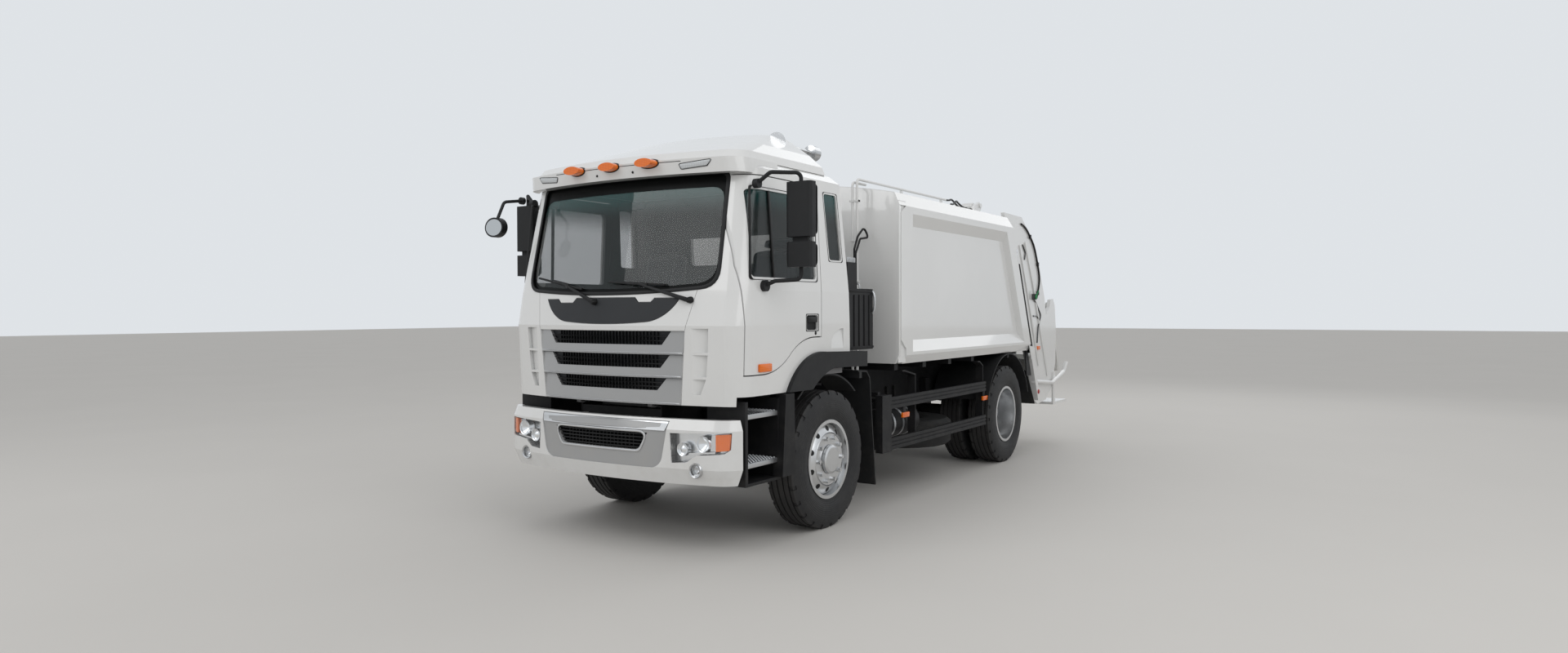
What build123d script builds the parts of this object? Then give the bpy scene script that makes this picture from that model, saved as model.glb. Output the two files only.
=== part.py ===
from build123d import *
import os
from math import asin, atan2, cos, degrees, hypot, radians, sin

# Two-axle rear-loading refuse truck: tilting cab, ladder chassis, hollow refuse body and lifting tailgate.
# Millimetres. X points to the truck's left, Y to its rear and Z up. The origin is on the ground,
# halfway along the truck and on its centre line.

# ---------------------------------------------------------------- lengthwise stations
bumper_front_y = -3675.0
front_overhang = 1400.0
wheelbase = 3800.0
front_axle_y = bumper_front_y + front_overhang
rear_axle_y = front_axle_y + wheelbase

# ---------------------------------------------------------------- wheels
tyre_radius = 525.0
tyre_width = 275.0
front_wheel_x = 950.0
dual_centre_x = 800.0
dual_half_gap = 160.0
rim_radius = 286.0
rim_half_width = 118.0
rim_wall = 10.0
flange_radius = 302.0
stud_circle_radius = 167.5
stud_count = 10
nut_radius = 17.0
nut_height = 30.0
vent_radius = 22.0
vent_circle_radius = 238.0
hub_radius = 100.0
spindle_radius = 40.0
running_clearance = 0.05
drum_radius = 205.0
kingpin_x = 815.0
kingpin_radius = 20.0

# ---------------------------------------------------------------- chassis
rail_outer_x = 390.0
rail_depth = 240.0
rail_flange = 75.0
rail_wall = 8.0
rail_top_z = 1000.0
rail_front_y = front_axle_y - 1160.0
rail_rear_y = front_axle_y + 4360.0
rail_low_z = rail_top_z - rail_depth
cross_member_offsets = (-1112.0, 1130.0, 1900.0, 2700.0, 3400.0, 4250.0)
cross_member_low_z = 860.0
tow_pin_y = front_axle_y - 1210.0
tow_pin_radius = 20.0
tow_jaw_half_width = 60.0
tow_jaw_low_z = 800.0
tow_jaw_height = 100.0
cross_member_half_depth = 45.0
spring_x = 430.0
spring_width = 70.0

# ---------------------------------------------------------------- cab
cab_wall = 45.0
nose_bow = 150.0
cab_rear_y = front_axle_y + 250.0
cab_skirt_z = 1085.0
cab_floor_z = 1215.0
cab_floor_thickness = 40.0
belt_z = 1830.0
gutter_z = 2640.0
cab_half_width = 1100.0
tilt_axis_y = front_axle_y - 1205.0
tilt_axis_z = 1020.0
tilt_arm_x = 345.0
tilt_pin_radius = 15.0
shut_gap = 8.0
door_rear_y = front_axle_y - 170.0
door_low_z = 1230.0
door_top_z = 2585.0
glass_inset = 12.0
glass_thickness = 8.0

# ---------------------------------------------------------------- refuse body
body_half_width = 1150.0
body_side_thickness = 90.0
body_front_y = front_axle_y + 1040.0
body_floor_z = 1200.0
body_floor_thickness = 40.0
body_side_low_z = body_floor_z + body_floor_thickness
shoulder_z = 2560.0
shoulder_inner_x = 1040.0
shoulder_top_z = 2670.0
crown_z = 2785.0
body_sheet = 45.0
recess_depth = 55.0
seam_low_y = front_axle_y + 4500.0
seam_low_z = 1100.0
seam_top_y = front_axle_y + 3760.0
seam_top_z = 2700.0

# ---------------------------------------------------------------- tailgate
tailgate_gap = 12.0
tailgate_half_width = 1070.0
tailgate_plate = 40.0
tailgate_inner_x = tailgate_half_width - tailgate_plate
hinge_y = front_axle_y + 3695.0
hinge_z = 2810.0
hinge_pin_radius = 25.0
blade_hinge_n = 400.0
blade_hinge_s = 14.0
trough_radius = 700.0
trough_sheet = 30.0
sill_z = 1060.0
sill_height = 40.0
blade_length = 680.0
blade_rest_angle = -95.0
blade_half_width = 1000.0
carriage_half_width = 1018.0

os.makedirs("parts", exist_ok=True)


def write(builder, label):
    """Labels a finished sub-part and writes it as parts/label.step."""
    builder.part.label = label
    export_step(builder.part, f"parts/{label}.step")


# Seam between body and tailgate: s runs up along it, n points to the rear, square to it.
seam_length = hypot(seam_top_y - seam_low_y, seam_top_z - seam_low_z)
seam_s = ((seam_top_y - seam_low_y) / seam_length, (seam_top_z - seam_low_z) / seam_length)
seam_n = (seam_s[1], -seam_s[0])


def seam_point(n, s):
    """A (Y, Z) point n behind the seam and s up along it from the seam's low end."""
    return (
        seam_low_y + n * seam_n[0] + s * seam_s[0],
        seam_low_z + n * seam_n[1] + s * seam_s[1],
    )


def seam_y(n, z):
    """Y of the line n behind the seam, at height z."""
    return seam_low_y + (n - (z - seam_low_z) * seam_n[1]) / seam_n[0]


def seam_box(n0, n1, s0, s1):
    """Rectangle laid along the seam."""
    return [seam_point(n0, s0), seam_point(n1, s0), seam_point(n1, s1), seam_point(n0, s1)]


def strip(points, thickness):
    """Closed outline of a bent sheet: the open path, and the path set off to its left with mitred corners."""
    normals = []
    for (y0, z0), (y1, z1) in zip(points, points[1:]):
        run = hypot(y1 - y0, z1 - z0)
        normals.append((-(z1 - z0) / run, (y1 - y0) / run))
    offset_side = []
    for i, (y, z) in enumerate(points):
        before = normals[max(i - 1, 0)]
        after = normals[min(i, len(normals) - 1)]
        share = thickness / (1 + before[0] * after[0] + before[1] * after[1])
        offset_side.append((y + share * (before[0] + after[0]), z + share * (before[1] + after[1])))
    return list(points) + offset_side[::-1]


def outline(points):
    """Straight-sided face through the given points, added to the sketch in hand."""
    with BuildLine() as edges:
        Polyline(*points, close=True)
    make_face(edges.line)


def front_view(y):
    """Plane square to Y at y, with local x along X and local y along Z. A negative extrusion runs rearwards."""
    return Plane.XZ.offset(-y)


def side_view(x):
    """Plane square to X at x, with local x along Y and local y along Z. A positive extrusion runs to +X."""
    return Plane.YZ.offset(x)


def prism(plane, points, amount, mode=Mode.ADD):
    """Straight-sided prism, added to or cut from the part in hand."""
    with BuildSketch(plane) as face:
        outline(points)
    extrude(face.sketch, amount=amount, mode=mode)


def disc(plane, centre, radius, amount, mode=Mode.ADD):
    """Round bar or bore, added to or cut from the part in hand."""
    with BuildSketch(plane) as face:
        with Locations(centre):
            Circle(radius)
    extrude(face.sketch, amount=amount, mode=mode)


def side_span(side, inner, outer):
    """X span from inner to outer on one side of the truck."""
    return sorted((side * inner, side * outer))


def block(x_span, y_span, z_span, mode=Mode.ADD):
    """Square-edged block between two ends on each axis."""
    with BuildSketch(Plane.XY.offset(z_span[0])) as face:
        outline([(x_span[0], y_span[0]), (x_span[1], y_span[0]), (x_span[1], y_span[1]), (x_span[0], y_span[1])])
    extrude(face.sketch, amount=z_span[1] - z_span[0], mode=mode)


def pipe(points, radius, bend, mode=Mode.ADD):
    """Round bar along straight runs joined by bends of one radius."""
    with BuildLine() as path:
        FilletPolyline(*points, radius=bend)
    with BuildSketch(Plane(origin=points[0], z_dir=Vector(*points[1]) - Vector(*points[0]))) as section:
        Circle(radius)
    sweep(section.sketch, path=path.line, mode=mode)


# ================================================================ wheels
def wheel_plane(x, y):
    """Plane through a wheel's centre: local x is the outward axle direction, local y is up."""
    side = 1 if x > 0 else -1
    return Plane(origin=(x, y, tyre_radius), x_dir=(side, 0, 0), z_dir=(0, -side, 0))


def axle_axis(y):
    return Axis((0, y, tyre_radius), (1, 0, 0))


def tyre_section(centre):
    """Half section of a tyre about its axle: beads, bulged sidewalls, sloped shoulders and flat tread."""
    half = tyre_width / 2
    bead = rim_half_width - 7
    sidewall = [(bead, rim_radius), (bead, flange_radius + 6), (half, flange_radius + 90),
                (half - 6, tyre_radius - 60), (half - 28, tyre_radius)]
    outline([(centre - across, radius) for across, radius in sidewall]
            + [(centre + across, radius) for across, radius in reversed(sidewall)])


def barrel_section(centre):
    """Half section of a rim's barrel with its two flanges."""
    outline([
        (centre - rim_half_width, rim_radius - rim_wall),
        (centre + rim_half_width, rim_radius - rim_wall),
        (centre + rim_half_width, flange_radius),
        (centre + rim_half_width - 7, flange_radius),
        (centre + rim_half_width - 7, rim_radius),
        (centre - rim_half_width + 7, rim_radius),
        (centre - rim_half_width + 7, flange_radius),
        (centre - rim_half_width, flange_radius),
    ])


def round_stack(plane, axis, steps, mode=Mode.ADD):
    """Turned solid on an axle, from (along the axle, radius) steps of its outer surface."""
    with BuildSketch(plane) as section:
        outline([(steps[0][0], 0), *steps, (steps[-1][0], 0)])
    revolve(section.sketch, axis=axis, mode=mode)


def hub_face(plane, start):
    """Plane square to an axle, start outboard of the wheel's centre."""
    return Plane(origin=plane.origin + plane.x_dir * start, x_dir=(0, 1, 0), z_dir=plane.x_dir)


def ring_of_nuts(plane, start):
    """Wheel nuts on the stud circle, each standing out along the axle."""
    with BuildSketch(hub_face(plane, start)) as nuts:
        with PolarLocations(stud_circle_radius, stud_count):
            RegularPolygon(nut_radius, 6)
    extrude(nuts.sketch, amount=nut_height)


def ring_of_vents(plane, start, length):
    """Round hand holes cut through a disc, between the nuts."""
    with BuildSketch(hub_face(plane, start)) as vents:
        with PolarLocations(vent_circle_radius, stud_count, start_angle=180 / stud_count):
            Circle(vent_radius)
    extrude(vents.sketch, amount=length, mode=Mode.SUBTRACT)


front_hub_face = 116.0
front_hub_back = -58.0
front_cap_end = 148.0
front_disc = [(20, 276), (106, 202), (116, 196), (116, 90), (102, 90), (102, 188), (96, 192), (2, 276)]
rear_disc = [(74, 276), (14, 206), (14, 90), (0, 90), (0, 212), (54, 276)]


def front_wheel(side):
    """Tyre and rim of one front wheel. Its disc stands out to the hub, with hand holes and nuts."""
    plane = wheel_plane(side * front_wheel_x, front_axle_y)
    axis = axle_axis(front_axle_y)
    with BuildPart() as tyre:
        with BuildSketch(plane):
            tyre_section(0)
        revolve(axis=axis)
    with BuildPart() as rim:
        with BuildSketch(plane):
            barrel_section(0)
            outline(front_disc)
        revolve(axis=axis)
        ring_of_vents(plane, 0, front_hub_face)
        round_stack(plane, axis, [(front_hub_back, hub_radius), (front_hub_face + 4, hub_radius),
                                  (front_hub_face + 4, 112), (front_cap_end - 8, 108), (front_cap_end, 92)])
        round_stack(plane, axis, [(front_hub_back, drum_radius), (front_hub_back + 50, drum_radius)])
        ring_of_nuts(plane, front_hub_face - 4)
        round_stack(plane, axis, [(front_hub_back - 3, spindle_radius + running_clearance),
                                  (front_hub_face - 20, spindle_radius + running_clearance)], Mode.SUBTRACT)
    return tyre, rim


def rear_wheel(side):
    """The twin wheels of one side: two tyres, and two rims back to back on one hub with its drum."""
    plane = wheel_plane(side * dual_centre_x, rear_axle_y)
    axis = axle_axis(rear_axle_y)
    with BuildPart() as tyres:
        with BuildSketch(plane):
            tyre_section(dual_half_gap)
            tyre_section(-dual_half_gap)
        revolve(axis=axis)
    with BuildPart() as rims:
        with BuildSketch(plane):
            for way in (-1, 1):
                barrel_section(way * dual_half_gap)
                outline([(way * a, r) for a, r in rear_disc])
        revolve(axis=axis)
        ring_of_vents(plane, -80, 160)
        round_stack(plane, axis, [(-30, hub_radius), (120, hub_radius), (124, 88), (150, 84), (154, 60)])
        round_stack(plane, axis, [(-250, drum_radius), (-16, drum_radius)])
        ring_of_nuts(plane, 10)
        round_stack(plane, axis, [(-251, spindle_radius + running_clearance),
                                  (90, spindle_radius + running_clearance)], Mode.SUBTRACT)
    return tyres, rims


for side, name in ((1, "left"), (-1, "right")):
    tyre, rim = front_wheel(side)
    write(tyre, f"tyre_front_{name}")
    write(rim, f"rim_front_{name}")
    tyre, rim = rear_wheel(side)
    write(tyre, f"tyres_rear_{name}")
    write(rim, f"rims_rear_{name}")

# ================================================================ front axle and knuckles
eye_half_height = 45.0
eye_radius = 48.0
fork_gap = 5.0
fork_height = 30.0
beam_drop = 95.0
spring_seat_z = tyre_radius + 20.0

with BuildPart() as front_axle:
    # forged beam, dropped between the two king-pin eyes
    with BuildSketch(Plane.XZ.offset(-front_axle_y - 45)):
        outline(strip([(-kingpin_x, tyre_radius - 40), (-kingpin_x + 130, tyre_radius - 40),
                       (-kingpin_x + 260, tyre_radius - beam_drop), (kingpin_x - 260, tyre_radius - beam_drop),
                       (kingpin_x - 130, tyre_radius - 40), (kingpin_x, tyre_radius - 40)], 80))
    extrude(amount=90)
    with Locations((kingpin_x, front_axle_y, tyre_radius), (-kingpin_x, front_axle_y, tyre_radius)):
        Cylinder(eye_radius, 2 * eye_half_height)
    with Locations((spring_x, front_axle_y, (tyre_radius + spring_seat_z) / 2 - 15),
                   (-spring_x, front_axle_y, (tyre_radius + spring_seat_z) / 2 - 15)):
        Box(spring_width + 20, 160, spring_seat_z - tyre_radius + 30)
    with Locations((kingpin_x, front_axle_y, tyre_radius), (-kingpin_x, front_axle_y, tyre_radius)):
        Cylinder(kingpin_radius + running_clearance, 4 * eye_half_height, mode=Mode.SUBTRACT)
        for way in (-1, 1):
            with Locations((0, 0, way * (eye_half_height + 50))):
                Cylinder(eye_radius + 10, 100, mode=Mode.SUBTRACT)
write(front_axle, "front_axle_beam")

arm_length = 170.0
arm_z = tyre_radius - eye_half_height - fork_gap - fork_height
tie_rod_radius = 17.0


def knuckle(side):
    """Steering knuckle: forked about the king pin, with the spindle outboard and the steering arm behind."""
    low_z = arm_z
    spindle_start = kingpin_x + 10
    spindle_end = front_wheel_x + front_hub_face - 30
    fork_outer = kingpin_x + eye_radius + fork_gap + 16
    with BuildPart() as part:
        for way in (-1, 1):
            z = tyre_radius + way * (eye_half_height + fork_gap + fork_height / 2)
            with Locations((side * kingpin_x, front_axle_y, z)):
                Cylinder(eye_radius - 3, fork_height)
            with Locations((side * (kingpin_x + fork_outer) / 2, front_axle_y, z)):
                Box(fork_outer - kingpin_x, 70, fork_height)
        with Locations((side * (fork_outer - 8), front_axle_y, tyre_radius)):
            Box(16, 90, 2 * (eye_half_height + fork_gap + fork_height))
        with Locations((side * kingpin_x, front_axle_y, tyre_radius)):
            Cylinder(kingpin_radius, 2 * (eye_half_height + fork_gap + fork_height))
        with BuildSketch(Plane.YZ.offset(side * (fork_outer - 10))):
            with Locations((front_axle_y, tyre_radius)):
                Circle(spindle_radius)
        extrude(amount=side * (spindle_end - fork_outer + 10))
        # steering arm, to the rear
        with BuildSketch(Plane.XY.offset(low_z)):
            outline([(side * (kingpin_x - 25), front_axle_y), (side * (kingpin_x + 25), front_axle_y),
                     (side * (kingpin_x - 10), front_axle_y + arm_length + 25),
                     (side * (kingpin_x - 55), front_axle_y + arm_length + 25)])
        extrude(amount=22)
    return part


for side, name in ((1, "left"), (-1, "right")):
    write(knuckle(side), f"knuckle_{name}")

with BuildPart() as tie_rod:
    # ball-joint housings and rod, below the steering arms
    rod_z = arm_z - 6 - 20
    with BuildSketch(Plane.YZ.offset(-(kingpin_x - 32))):
        with Locations((front_axle_y + arm_length, rod_z)):
            Circle(tie_rod_radius)
    extrude(amount=2 * (kingpin_x - 32))
    with Locations((kingpin_x - 32, front_axle_y + arm_length, rod_z),
                   (-(kingpin_x - 32), front_axle_y + arm_length, rod_z)):
        Cylinder(26, 40)
write(tie_rod, "tie_rod")

# ================================================================ rear axle and springs
with BuildPart() as rear_axle:
    axle_end = dual_centre_x + 60
    with BuildSketch(Plane.YZ.offset(-(dual_centre_x - 260))):
        with Locations((rear_axle_y, tyre_radius)):
            RectangleRounded(130, 130, 30)
    extrude(amount=2 * (dual_centre_x - 260))
    with BuildSketch(Plane.YZ.offset(-axle_end)):
        with Locations((rear_axle_y, tyre_radius)):
            Circle(spindle_radius)
    extrude(amount=2 * axle_end)
    # differential banjo and pinion nose
    with BuildSketch(Plane.YZ.offset(-90)):
        with Locations((rear_axle_y, tyre_radius)):
            Circle(215)
    extrude(amount=180)
    with BuildSketch(Plane.XZ.offset(-(rear_axle_y - 360))):
        with Locations((0, tyre_radius + 40)):
            Circle(95)
    extrude(amount=-200)
    with Locations((spring_x, rear_axle_y, tyre_radius + 80), (-spring_x, rear_axle_y, tyre_radius + 80)):
        Box(spring_width + 10, 200, 50)
write(rear_axle, "rear_axle")


def spring_pack(axle_y, seat_z, half_length, leaves):
    """Left-hand leaf spring: stacked leaves, each shorter than the one above, and end brackets up to the rail."""
    leaf = 12.0
    top_z = seat_z + leaves * leaf
    for i in range(leaves):
        reach = half_length * (1 - 0.13 * (leaves - 1 - i))
        block((spring_x - spring_width / 2, spring_x + spring_width / 2), (axle_y - reach, axle_y + reach),
              (seat_z + i * leaf, seat_z + (i + 1) * leaf))
    for way in (-1, 1):
        eye_y = axle_y + way * half_length
        prism(side_view(spring_x - spring_width / 2),
              [(eye_y - 45, top_z), (eye_y + 45, top_z), (eye_y + 60, rail_top_z - 60), (eye_y - 60, rail_top_z - 60)],
              spring_width)
        clamp_y = axle_y + way * 60
        block((spring_x - spring_width / 2 - 12, spring_x + spring_width / 2 + 12), (clamp_y - 13, clamp_y + 13),
              (seat_z, top_z + 16))


with BuildPart() as leaf_springs:
    spring_pack(front_axle_y, spring_seat_z, 640, 6)
    spring_pack(rear_axle_y, tyre_radius + 105, 700, 8)
    mirror(about=Plane.YZ)
write(leaf_springs, "leaf_springs")

# ================================================================ frame

with BuildPart() as ladder_frame:
    with BuildSketch(Plane.XZ.offset(-rail_front_y)):
        for side in (-1, 1):
            outline([
                (side * rail_outer_x, rail_low_z), (side * rail_outer_x, rail_top_z),
                (side * (rail_outer_x - rail_flange), rail_top_z),
                (side * (rail_outer_x - rail_flange), rail_top_z - rail_wall),
                (side * (rail_outer_x - rail_wall), rail_top_z - rail_wall),
                (side * (rail_outer_x - rail_wall), rail_low_z + rail_wall),
                (side * (rail_outer_x - rail_flange), rail_low_z + rail_wall),
                (side * (rail_outer_x - rail_flange), rail_low_z),
            ])
    extrude(amount=-(rail_rear_y - rail_front_y))
    # lugs and pins that carry the tilting cab
    for side in (-1, 1):
        x = side * tilt_arm_x
        for way in (-1, 1):
            prism(side_view(x + way * 30 - 8), [(tilt_axis_y - 25, tilt_axis_z - 15), (tilt_axis_y + 45, rail_top_z),
                                                (tilt_axis_y + 150, rail_top_z), (tilt_axis_y + 100, tilt_axis_z + 25),
                                                (tilt_axis_y, tilt_axis_z + 28)], 16)
        disc(side_view(x - 38), (tilt_axis_y, tilt_axis_z), tilt_pin_radius, 76)
    inner_x = rail_outer_x - rail_wall
    for offset_y in cross_member_offsets:
        y = front_axle_y + offset_y
        prism(side_view(-inner_x), [(y - 45, cross_member_low_z), (y + 45, cross_member_low_z),
                                    (y + 45, cross_member_low_z + rail_wall), (y - 37, cross_member_low_z + rail_wall),
                                    (y - 37, rail_top_z - 38), (y + 45, rail_top_z - 38), (y + 45, rail_top_z - 30),
                                    (y - 45, rail_top_z - 30)], 2 * inner_x)
write(ladder_frame, "ladder_frame")

with BuildPart() as tow_jaw:
    # bolted to the front of the first cross member, with an upright bore for the towing pin
    block((-tow_jaw_half_width, tow_jaw_half_width),
          (tow_pin_y - 45, front_axle_y + cross_member_offsets[0] - cross_member_half_depth),
          (tow_jaw_low_z, tow_jaw_low_z + tow_jaw_height))
    with Locations((0, tow_pin_y, tow_jaw_low_z)):
        Cylinder(tow_pin_radius, 4 * tow_jaw_height, mode=Mode.SUBTRACT)
write(tow_jaw, "tow_jaw")

# engine with gearbox, one plain block between the rails
engine_half_width = 285.0
with BuildPart() as engine:
    with BuildSketch(Plane.YZ.offset(-engine_half_width)):
        outline([(front_axle_y - 1050, 640), (front_axle_y - 1050, 1165), (front_axle_y + 60, 1165),
                 (front_axle_y + 60, 1000), (front_axle_y + 350, 1000), (front_axle_y + 350, 640)])
    extrude(amount=2 * engine_half_width)
    with BuildSketch(Plane.XZ.offset(-(front_axle_y + 350))):
        with Locations((0, 800)):
            Circle(150)
    extrude(amount=-600)

shaft_front_y = front_axle_y + 950
shaft_rear_y = rear_axle_y - 360
shaft_drop = 800 - (tyre_radius + 40)
with BuildPart() as drive_shaft:
    shaft_plane = Plane(origin=(0, shaft_front_y, 800), x_dir=(1, 0, 0),
                        z_dir=(0, shaft_rear_y - shaft_front_y, -shaft_drop))
    with BuildSketch(shaft_plane):
        Circle(45)
    extrude(amount=hypot(shaft_rear_y - shaft_front_y, shaft_drop))
    with BuildSketch(Plane.XZ.offset(-shaft_front_y)):
        with Locations((0, 800)):
            Circle(75)
    extrude(amount=-40)
    with BuildSketch(Plane.XZ.offset(-shaft_rear_y)):
        with Locations((0, tyre_radius + 40)):
            Circle(75)
    extrude(amount=40)
    split(bisect_by=front_view(shaft_front_y), keep=Keep.BOTTOM)
    split(bisect_by=front_view(shaft_rear_y), keep=Keep.TOP)
with BuildPart() as drivetrain:
    add(engine.part)
    add(drive_shaft.part)
write(drivetrain, "drivetrain")

# ================================================================ front end
bumper_low_z = 495.0
bumper_top_z = 935.0
bumper_wall = 45.0
bumper_half_width = 1100.0
bumper_rear_y = front_axle_y - 1160.0
nose_corner_radius = 200.0
bumper_form_rear_y = bumper_rear_y + 150.0


def plan_outline(z, nose_y, half_width, rear_y, bow, corner_radius):
    """Plan section at height z: bowed front, rounded front corners, straight sides and rear."""
    with BuildSketch(Plane.XY.offset(z)) as level:
        with BuildLine():
            ThreePointArc((-half_width, nose_y + bow), (0, nose_y), (half_width, nose_y + bow))
            Polyline((half_width, nose_y + bow), (half_width, rear_y), (-half_width, rear_y),
                     (-half_width, nose_y + bow))
        make_face()
        fillet(level.vertices().sort_by(Axis.Y)[:2], corner_radius)
    return level.sketch


# columns: height, setback of the nose, setback of the side
bumper_levels = (
    (bumper_low_z, 40.0, 25.0),
    (bumper_low_z + 110, 0.0, 0.0),
    (bumper_top_z - 70, 0.0, 0.0),
    (bumper_top_z, 25.0, 10.0),
)


def bumper_form(inset, mode=Mode.ADD):
    """Bumper's outer form, drawn in by inset."""
    levels = []
    for z, nose_setback, side_setback in bumper_levels:
        levels.append(plan_outline(z, bumper_front_y + nose_setback + inset, bumper_half_width - side_setback - inset,
                                   bumper_form_rear_y + inset, nose_bow, nose_corner_radius - inset))
    loft(levels, ruled=True, mode=mode)


insert_top_x = 607.0
insert_low_x = 545.0
insert_low_z = 600.0
insert_top_z = 920.0
insert_corner = 95.0
intake_top_x = 437.0
intake_low_x = 360.0
intake_low_z = 714.0
intake_top_z = 833.0
intake_corner = 60.0
lamp_inner_x = 620.0
lamp_outer_x = 1045.0
fog_x = 810.0
fog_z = 600.0
fog_radius = 45.0
bumper_depth = 600.0


def lamp_outline(side):
    """Headlamp seen from the front: deep at its inner end, with a raised lower edge towards the corner."""
    return [(side * (lamp_inner_x + 12), 642), (side * 745, 650), (side * 820, 700), (side * 1010, 715),
            (side * lamp_outer_x, 745), (side * (lamp_outer_x + 5), 855), (side * lamp_inner_x, 842)]


def dished_face(low_x, low_z, top_x, top_z, corner):
    """Outline like a shallow dish, seen from the front: level top, sloped ends and rounded lower corners."""
    with BuildSketch(front_view(bumper_front_y - 10)) as face:
        outline([(-low_x, low_z), (low_x, low_z), (top_x, top_z), (-top_x, top_z)])
        fillet(face.vertices().sort_by(Axis.Y)[:2], corner)
    return face.sketch


def insert_face():
    return dished_face(insert_low_x, insert_low_z, insert_top_x, insert_top_z, insert_corner)


def intake_face():
    return dished_face(intake_low_x, intake_low_z, intake_top_x, intake_top_z, intake_corner)


with BuildPart() as front_bumper:
    bumper_form(0)
    bumper_form(bumper_wall, Mode.SUBTRACT)
    split(bisect_by=front_view(bumper_rear_y), keep=Keep.TOP)
    extrude(insert_face(), amount=-bumper_depth, mode=Mode.SUBTRACT)
    for side in (-1, 1):
        prism(front_view(bumper_front_y - 10), lamp_outline(side), -bumper_depth, Mode.SUBTRACT)
        disc(front_view(bumper_front_y - 10), (side * fog_x, fog_z), fog_radius, -bumper_depth, Mode.SUBTRACT)
    # brackets back to the frame rails
    for side in (-1, 1):
        x = sorted((side * (rail_outer_x - 70), side * (rail_outer_x - 30)))
        block(x, (bumper_front_y + 115, rail_front_y), (bumper_low_z + 120, bumper_top_z - 20))
        block(x, (rail_front_y, rail_front_y + 80), (bumper_low_z + 120, rail_low_z))
    extrude(intake_face(), amount=-300, mode=Mode.SUBTRACT)
write(front_bumper, "front_bumper")

with BuildPart() as bumper_insert:
    extrude(insert_face(), amount=-bumper_depth)
    bumper_form(8, Mode.INTERSECT)
    bumper_form(bumper_wall - 8, Mode.SUBTRACT)
    extrude(intake_face(), amount=-bumper_depth, mode=Mode.SUBTRACT)
write(bumper_insert, "bumper_insert")

with BuildPart() as headlamps:
    for side in (-1, 1):
        prism(front_view(bumper_front_y - 10), lamp_outline(side), -bumper_depth)
        disc(front_view(bumper_front_y - 10), (side * fog_x, fog_z), fog_radius, -bumper_depth)
    bumper_form(4, Mode.INTERSECT)
    bumper_form(bumper_wall, Mode.SUBTRACT)
    split(bisect_by=front_view(bumper_rear_y), keep=Keep.TOP)
write(headlamps, "headlamps")

# ================================================================ cab
# columns: height, nose offset from the front axle, half width, rear offset from the front axle
cab_levels = (
    (1022.0, -1318.0, 1096.0, 275.0),
    (1560.0, -1340.0, 1100.0, 262.0),
    (belt_z - 30, -1295.0, 1100.0, 250.0),
    (gutter_z, -1120.0, 1055.0, 180.0),
)
cab_corner_radius = 165.0


def cab_form(inset, mode=Mode.ADD):
    """Cab's closed outer form, drawn in by inset on its front, sides and rear."""
    levels = []
    for z, nose, half_width, rear in cab_levels:
        levels.append(plan_outline(z, front_axle_y + nose + inset, half_width - inset,
                                   front_axle_y + rear - inset, nose_bow, cab_corner_radius - inset))
    loft(levels, ruled=True, mode=mode)


def cab_at(z, column):
    """Nose offset (column 1), half width (2) or rear offset (3) of the cab at height z."""
    for low, high in zip(cab_levels, cab_levels[1:]):
        if z <= high[0]:
            share = (z - low[0]) / (high[0] - low[0])
            return low[column] + share * (high[column] - low[column])
    return cab_levels[-1][column]


def bow_setback(x):
    """How far the bowed nose falls back at x."""
    radius = (cab_half_width**2 + nose_bow**2) / (2 * nose_bow)
    return radius - (radius**2 - x**2) ** 0.5


arch_outer_x = 1130.0
arch_inner_x = cab_half_width - cab_wall
arch_split_z = 1085.0
door_skin_x = 900.0

with BuildPart() as cab_arch_cutter:
    with BuildSketch(side_view(-1200)) as arch_void:
        with BuildLine() as arch_line:
            arch_front = Line((front_axle_y - 745, 560), (front_axle_y - 715, 880))
            arch_bend = ThreePointArc((front_axle_y - 715, 880), (front_axle_y - 490, 1260),
                                      (front_axle_y - 120, 1352))
            Polyline((front_axle_y - 120, 1352), (front_axle_y + 505, 1335), (front_axle_y + 505, 560),
                     (front_axle_y - 745, 560))
        make_face()
    extrude(amount=2400)


def door_outline(grow):
    """Side outline of a door: level sill, curve over the wheel arch, upright rear edge and sloping front edge."""
    front = front_axle_y - 1125
    with BuildLine() as edge:
        Polyline((front, 1960), (front, door_low_z), (front_axle_y - 935, door_low_z))
        low = TangentArc((front_axle_y - 935, door_low_z), (front_axle_y - 600, 1350), tangent=(1, 0))
        TangentArc(low @ 1, (front_axle_y - 265, 1470), tangent=low % 1)
        Polyline((front_axle_y - 265, 1470), (door_rear_y, 1470), (door_rear_y, door_top_z),
                 (front_axle_y - 1050, door_top_z), (front, 1960))
    make_face(edge.line)
    if grow:
        offset(amount=grow, kind=Kind.INTERSECTION)


with BuildPart() as door_cutter:
    with BuildSketch(side_view(door_skin_x)):
        door_outline(shut_gap)
    extrude(amount=300)
    mirror(about=Plane.YZ)

handle_pocket = [(front_axle_y - 375, 1518), (front_axle_y - 215, 1518), (front_axle_y - 215, 1628),
                 (front_axle_y - 375, 1628)]
handle_pocket_depth = 26.0
door_window = [(front_axle_y - 1055, 1890), (front_axle_y - 235, 1890), (front_axle_y - 235, 2490),
               (front_axle_y - 1012, 2490)]
quarter_window = [(front_axle_y - 25, 2045), (front_axle_y + 160, 2045), (front_axle_y + 115, 2545),
                  (front_axle_y - 70, 2545)]
screen_low_z = 1785.0
screen_corner_z = 1828.0
screen_top_z = 2612.0
screen_low_x = 905.0
screen_top_x = 885.0
screen_low_corner = 120.0
screen_top_corner = 55.0
grille_top_z = 1525.0
grille_low_z = 1015.0
grille_top_x = 692.0
grille_low_x = 648.0
grille_outline = [(-grille_low_x, grille_low_z), (grille_low_x, grille_low_z), (grille_top_x, grille_top_z),
                  (-grille_top_x, grille_top_z)]
grille_depth = 31.0
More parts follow.
